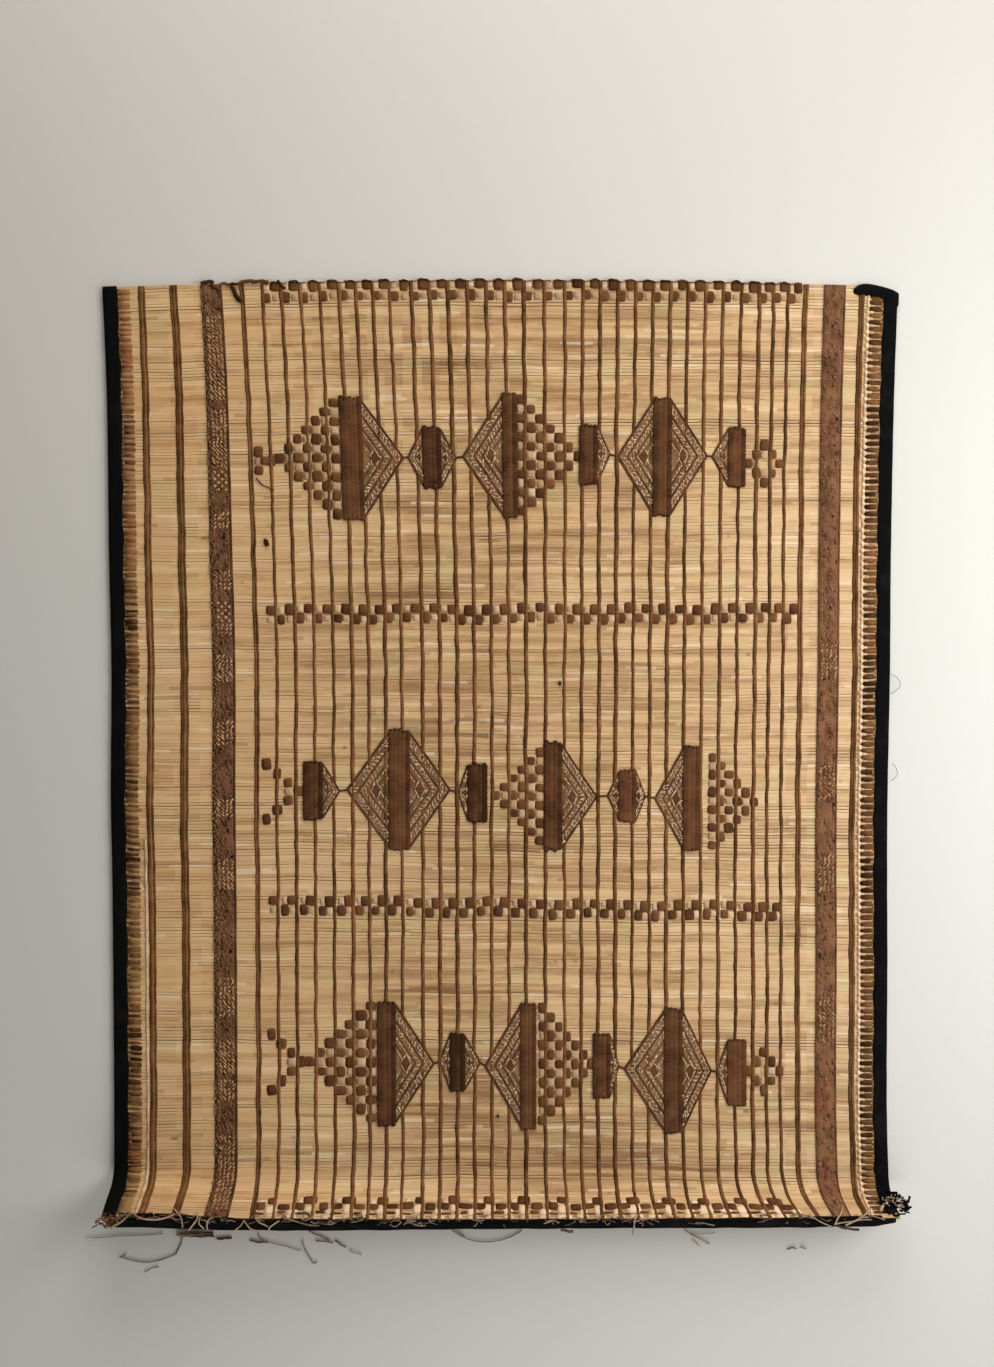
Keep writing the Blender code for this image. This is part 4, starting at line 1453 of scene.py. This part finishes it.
def fold_corner(top):
    """The right strip's end, turned a little way along the top end."""
    rings = []
    for x in np.linspace(CORNER[0].x, CORNER[-1].x, 25):
        upper, lower = column(CORNER, "x", "upper", x), column(CORNER, "x", "lower", x)
        ring = []
        for turn in range(12):
            angle = turn / 12 * math.tau
            high = min(1.08, max(0.0, 0.5 + 0.80 * math.sin(angle))) * top
            ring.append((x, -((upper + lower) / 2 + (lower - upper) / 2 * math.cos(angle)), high))
        rings.append(ring)
    cloth("corner_binding", rings, True, leaning=False, ramped=False)


def tube(rings, flipped):
    """A closed tube through rings of points, with its two ends capped."""
    count = len(rings[0])
    points = [point for ring in rings for point in ring]
    faces = []
    for i in range(len(rings) - 1):
        for j in range(count):
            k = (j + 1) % count
            faces.append([i * count + j, i * count + k, (i + 1) * count + k, (i + 1) * count + j])
    faces.append([n for n in range(count)][::-1])
    faces.append([(len(rings) - 1) * count + n for n in range(count)])
    if flipped:
        faces = [face[::-1] for face in faces]
    return points, (), faces


def ground_point(x, out):
    """A place on the ground past the foot, which stands over it and hides its first few centimetres."""
    across, down = np.array([x / HALF]), np.array([MAT_LENGTH])
    edge = on_mat(across + lean(across, down), down + BINDING_FOOT, np.zeros(1))[0]
    return edge[0] * (1 + 0.43 * edge[2]), edge[1] - 0.40 * edge[2] - out


def stray(rng, xs, downs, run, fall, bow):
    """A random short strand's ends and bow, from its start's limits and the most that it runs on."""
    x, down = rng.uniform(*xs), rng.uniform(*downs)
    return x, down, x + rng.uniform(*run), down + rng.uniform(*fall), rng.uniform(*bow)


def make_thongs():
    """Loose leather thongs: over the foot's binding, and on the ground in front of it."""
    rng = np.random.default_rng(71)
    guides = Guides()
    for row in FOOT_STRANDS:
        guides.strand(row, REED_THICK + 0.0034)
    for n in range(settings().foot_threads):
        x = -0.665 + 1.30 * rng.uniform() ** 1.4
        down = MAT_LENGTH + rng.uniform(-0.010, 0.006)
        run, fall = rng.uniform(-0.030, 0.030), rng.uniform(-0.008, 0.010)
        row = (x, down, x + run, min(down + fall, MAT_LENGTH + 0.011), rng.uniform(-0.006, 0.006))
        row = (*row, rng.uniform(0.0010, 0.0021), rng.uniform(-0.50, 0.15))
        guides.strand(row, REED_THICK + rng.uniform(0.002, 0.004))
    for n in range(16):
        row = stray(rng, (0.664, 0.698), (1.600, 1.634), (-0.012, 0.012), (-0.010, 0.010), (-0.006, 0.006))
        guides.strand((*row, 0.0017, rng.uniform(0.1, 0.5)), REED_THICK + rng.uniform(0.006, 0.009))
    own = {"spacing": 0.003, "sides": 5, "flatness": 0.7, "wander": 0.0012, "swell": 0.6, "seed": 15}
    strands(guides, "foot_strands", "thread_leather", "brown_leather", "thong_fringe", **own)
    guides = Guides()
    for row in GROUND_STRANDS:
        guides.strand(row._replace(width=row.width * 0.75, tone=row.tone + 0.12), 0.0018)
    for n in range(18):
        x, out = rng.uniform(-0.545, -0.520), rng.uniform(0.002, 0.011)
        row = (x, out, rng.uniform(-0.500, -0.476), rng.uniform(0.002, 0.011), rng.uniform(-0.004, 0.004))
        row = (*row, rng.uniform(0.0018, 0.0030), rng.uniform(-0.60, 0.10))
        guides.strand(row, rng.uniform(0.0018, 0.0060))
    guides.points = [(*ground_point(x, -y), z) for x, y, z in guides.points]
    piece = guides.piece("ground_strands")
    own = {"spacing": 0.003, "sides": 5, "flatness": 0.8, "wander": 0.0008, "swell": 0.5, "seed": 18}
    grow(piece, strands_tree, get_material("thread_leather"), ripple=0.0, ripple_pitch=1.0, **own)
    keep(piece, "flat", points_of(piece.data))
    declare(piece, "brown_leather")


def make_loose_ends():
    """Loops over the top edge, knots at its left end, stray threads, and the frayed lower corners."""
    rng = np.random.default_rng(83)
    own = {"spacing": 0.002, "sides": 5, "flatness": 0.7, "wander": 0.0008, "swell": 0.5}
    guides = Guides()
    for row in LOOSE_STRANDS:
        guides.strand(row, REED_THICK + 0.0022)
    top_band = CHECK_BANDS[0]
    for n in range(len(CORDS)):
        x = cord_x(n + top_band.before)
        if top_band.from_x <= x <= top_band.to_x:
            half = 0.0088 + rng.uniform(-0.0008, 0.0012)
            rise = rng.uniform(0.0010, 0.0036)
            row = (x - half, 0.0006, x + half, 0.0006, -rise)
            row = (*row, rng.uniform(0.0026, 0.0044), rng.uniform(-0.50, -0.20))
            guides.strand(row, REED_THICK + 0.0020)
            row = (x + half, 0.0010, x + half + 0.013, 0.0010, rng.uniform(-0.001, 0.001), 0.0020, -0.25)
            guides.strand(row, REED_THICK + 0.0016)
    for n in range(26):
        row = stray(rng, (-0.682, -0.652), (1.652, 1.674), (-0.008, 0.018), (-0.006, 0.008), (-0.004, 0.004))
        guides.strand((*row, 0.0026, rng.uniform(-0.45, 0.45)), REED_THICK + rng.uniform(0.002, 0.005))
    strands(guides, "loose_ends", "brown_leather_worn", "brown_leather", seed=19, **own)
    guides = Guides()
    for n in range(80):
        row = stray(rng, (0.656, 0.700), (1.600, 1.644), (-0.014, 0.014), (-0.012, 0.012), (-0.007, 0.007))
        guides.strand((*row, rng.uniform(0.0026, 0.0056), 0.0), REED_THICK + rng.uniform(0.000, 0.005))
    for row in CORNER_RAGS:
        guides.strand(row, REED_THICK + 0.002)
    strands(guides, "frayed_corner", "black_cotton", "black_cloth", leaning=False, seed=20, **own)


def make_stage():
    """The floor, the camera over the mat and the soft lights round it."""
    look = settings()
    scene = bpy.context.scene
    points = [(x, y, -FLOOR_DROP) for y in (-FLOOR_HALF, FLOOR_HALF) for x in (-FLOOR_HALF, FLOOR_HALF)]
    floor = new_piece("floor", points, (), [(0, 1, 3, 2)])
    floor.data.materials.append(get_material("pale_floor"))
    camera = bpy.data.cameras.new("camera")
    camera.sensor_width = 36.0
    camera.lens = look.camera_lens
    stand = bpy.data.objects.new("camera", camera)
    stand.location = (MIDDLE_X + CAMERA_ASIDE, TOP_Y - CAMERA_DOWN, look.camera_height)
    scene.collection.objects.link(stand)
    scene.camera = stand
    for name, place, aim, size, color in LIGHTS:
        light = bpy.data.lights.new(name, "AREA")
        light.size = size
        light.color = color
        light.energy = getattr(look, f"{name}_power")
        lamp = bpy.data.objects.new(name, light)
        lamp.location = place
        lamp.rotation_euler = (Vector(aim) - Vector(place)).to_track_quat("-Z", "Y").to_euler()
        lamp.visible_camera = False
        scene.collection.objects.link(lamp)
    world = bpy.data.worlds.new("studio")
    world.use_nodes = True
    background = world.node_tree.nodes["Background"]
    background.inputs["Color"].default_value = (1.0, 0.965, 0.905, 1.0)
    background.inputs["Strength"].default_value = look.sky
    scene.world = world
    scene.view_settings.view_transform = "Standard"


class ReedMatSettings(PropertyGroup):
    """Sizes and colours that a user would change."""

    reed_count: IntProperty(
        name="Reeds", description="How many reeds lie side by side", default=300, min=50
    )
    reed_uneven: FloatProperty(
        name="Uneven reeds",
        description="How much narrower the thinnest reed is",
        default=0.22,
        subtype="FACTOR",
    )
    reed_color: FloatVectorProperty(
        name="Reed",
        description="Colour of most of the reeds",
        default=(0.655, 0.410, 0.195),
        subtype="COLOR",
    )
    pale_color: FloatVectorProperty(
        name="Pale palm",
        description="Colour of the pale squares and dashes",
        default=(0.78, 0.555, 0.355),
        subtype="COLOR",
    )
    cord_width: FloatProperty(
        name="Cord", description="Width of a lacing cord", default=0.0070, unit="LENGTH"
    )
    check_size: FloatProperty(
        name="Check", description="Side of a brown check", default=0.0172, unit="LENGTH"
    )
    cloth_color: FloatVectorProperty(
        name="Cloth",
        description="Colour of the binding cloth",
        default=(0.0034, 0.0033, 0.0033),
        subtype="COLOR",
    )
    floor_color: FloatVectorProperty(
        name="Floor", description="Colour of the floor", default=(0.645, 0.620, 0.570), subtype="COLOR"
    )
    key_power: FloatProperty(
        name="Key light", description="Power of the light from the right", default=53.0
    )
    fill_power: FloatProperty(name="Fill light", description="Power of the light from above", default=96.0)
    front_power: FloatProperty(
        name="Front light", description="Power of the light from the foot's side", default=51.0
    )
    foot_threads: IntProperty(
        name="Foot threads", description="How many short threads lie over the foot", default=140
    )
    sky: FloatProperty(name="Sky", description="Strength of the even light from all round", default=0.10)
    camera_height: FloatProperty(
        name="Camera", description="Height of the camera", default=2.4, unit="LENGTH"
    )
    camera_lens: FloatProperty(name="Lens", description="Focal length in millimetres", default=36.1)


class ReedsOperator(Operator):
    """Lay the reeds side by side"""

    bl_idname = "reed_mat.reeds"
    bl_label = "Reeds"

    def execute(self, context):
        make_reeds()
        return {"FINISHED"}


class LacingOperator(Operator):
    """Run the cords and narrow strips down the reeds"""

    bl_idname = "reed_mat.lacing"
    bl_label = "Lacing"

    def execute(self, context):
        make_lacing()
        return {"FINISHED"}


class ChecksOperator(Operator):
    """Weave the brown and pale checks"""

    bl_idname = "reed_mat.checks"
    bl_label = "Checks"

    def execute(self, context):
        make_checks()
        return {"FINISHED"}


class MotifsOperator(Operator):
    """Lay the bars and their openwork halves"""

    bl_idname = "reed_mat.motifs"
    bl_label = "Motifs"

    def execute(self, context):
        make_motifs()
        return {"FINISHED"}


class WideBandsOperator(Operator):
    """Plait the two wide bands"""

    bl_idname = "reed_mat.wide_bands"
    bl_label = "Wide bands"

    def execute(self, context):
        make_wide_bands()
        return {"FINISHED"}


class StitchesOperator(Operator):
    """Sew the whip stitches along the sides"""

    bl_idname = "reed_mat.stitches"
    bl_label = "Whip stitches"

    def execute(self, context):
        make_stitches()
        return {"FINISHED"}


class BindingsOperator(Operator):
    """Fold the black cloth over the edges"""

    bl_idname = "reed_mat.bindings"
    bl_label = "Bindings"

    def execute(self, context):
        make_bindings()
        return {"FINISHED"}


class ThongsOperator(Operator):
    """Hang the loose thongs along the foot"""

    bl_idname = "reed_mat.thongs"
    bl_label = "Thongs"

    def execute(self, context):
        make_thongs()
        return {"FINISHED"}


class LooseEndsOperator(Operator):
    """Lay the loops of the top edge, the knots, the stray threads and the frayed corners"""

    bl_idname = "reed_mat.loose_ends"
    bl_label = "Loose ends"

    def execute(self, context):
        make_loose_ends()
        return {"FINISHED"}


class SheetOperator(Operator):
    """Take no step: the other steps lay the reeds and all that is laced to them on the ground"""

    bl_idname = "reed_mat.sheet"
    bl_label = "Sheet"

    def execute(self, context):
        return {"FINISHED"}


class StageOperator(Operator):
    """Set the floor, the lights and the camera"""

    bl_idname = "reed_mat.stage"
    bl_label = "Stage"

    def execute(self, context):
        make_stage()
        return {"FINISHED"}


OPERATORS = (
    ReedsOperator,
    LacingOperator,
    ChecksOperator,
    MotifsOperator,
    WideBandsOperator,
    StitchesOperator,
    BindingsOperator,
    ThongsOperator,
    LooseEndsOperator,
    SheetOperator,
    StageOperator,
)


class ReedMatPanel(Panel):
    """The mat's sizes, colours and pieces"""

    bl_idname = "VIEW3D_PT_reed_mat"
    bl_label = "Mat"
    bl_space_type = "VIEW_3D"
    bl_region_type = "UI"
    bl_category = "Mat"

    def draw(self, context):
        look = context.scene.reed_mat_settings
        for name in ReedMatSettings.__annotations__:
            self.layout.prop(look, name)
        for operator in OPERATORS:
            self.layout.operator(operator.bl_idname)


CLASSES = (ReedMatSettings, *OPERATORS, ReedMatPanel)


def register():
    for kind in CLASSES:
        bpy.utils.register_class(kind)
    bpy.types.Scene.reed_mat_settings = PointerProperty(type=ReedMatSettings)


def unregister():
    del bpy.types.Scene.reed_mat_settings
    for kind in reversed(CLASSES):
        bpy.utils.unregister_class(kind)


def main():
    register()
    for operator in OPERATORS:
        family, name = operator.bl_idname.split(".")
        getattr(getattr(bpy.ops, family), name)()


if __name__ == "__main__":
    main()
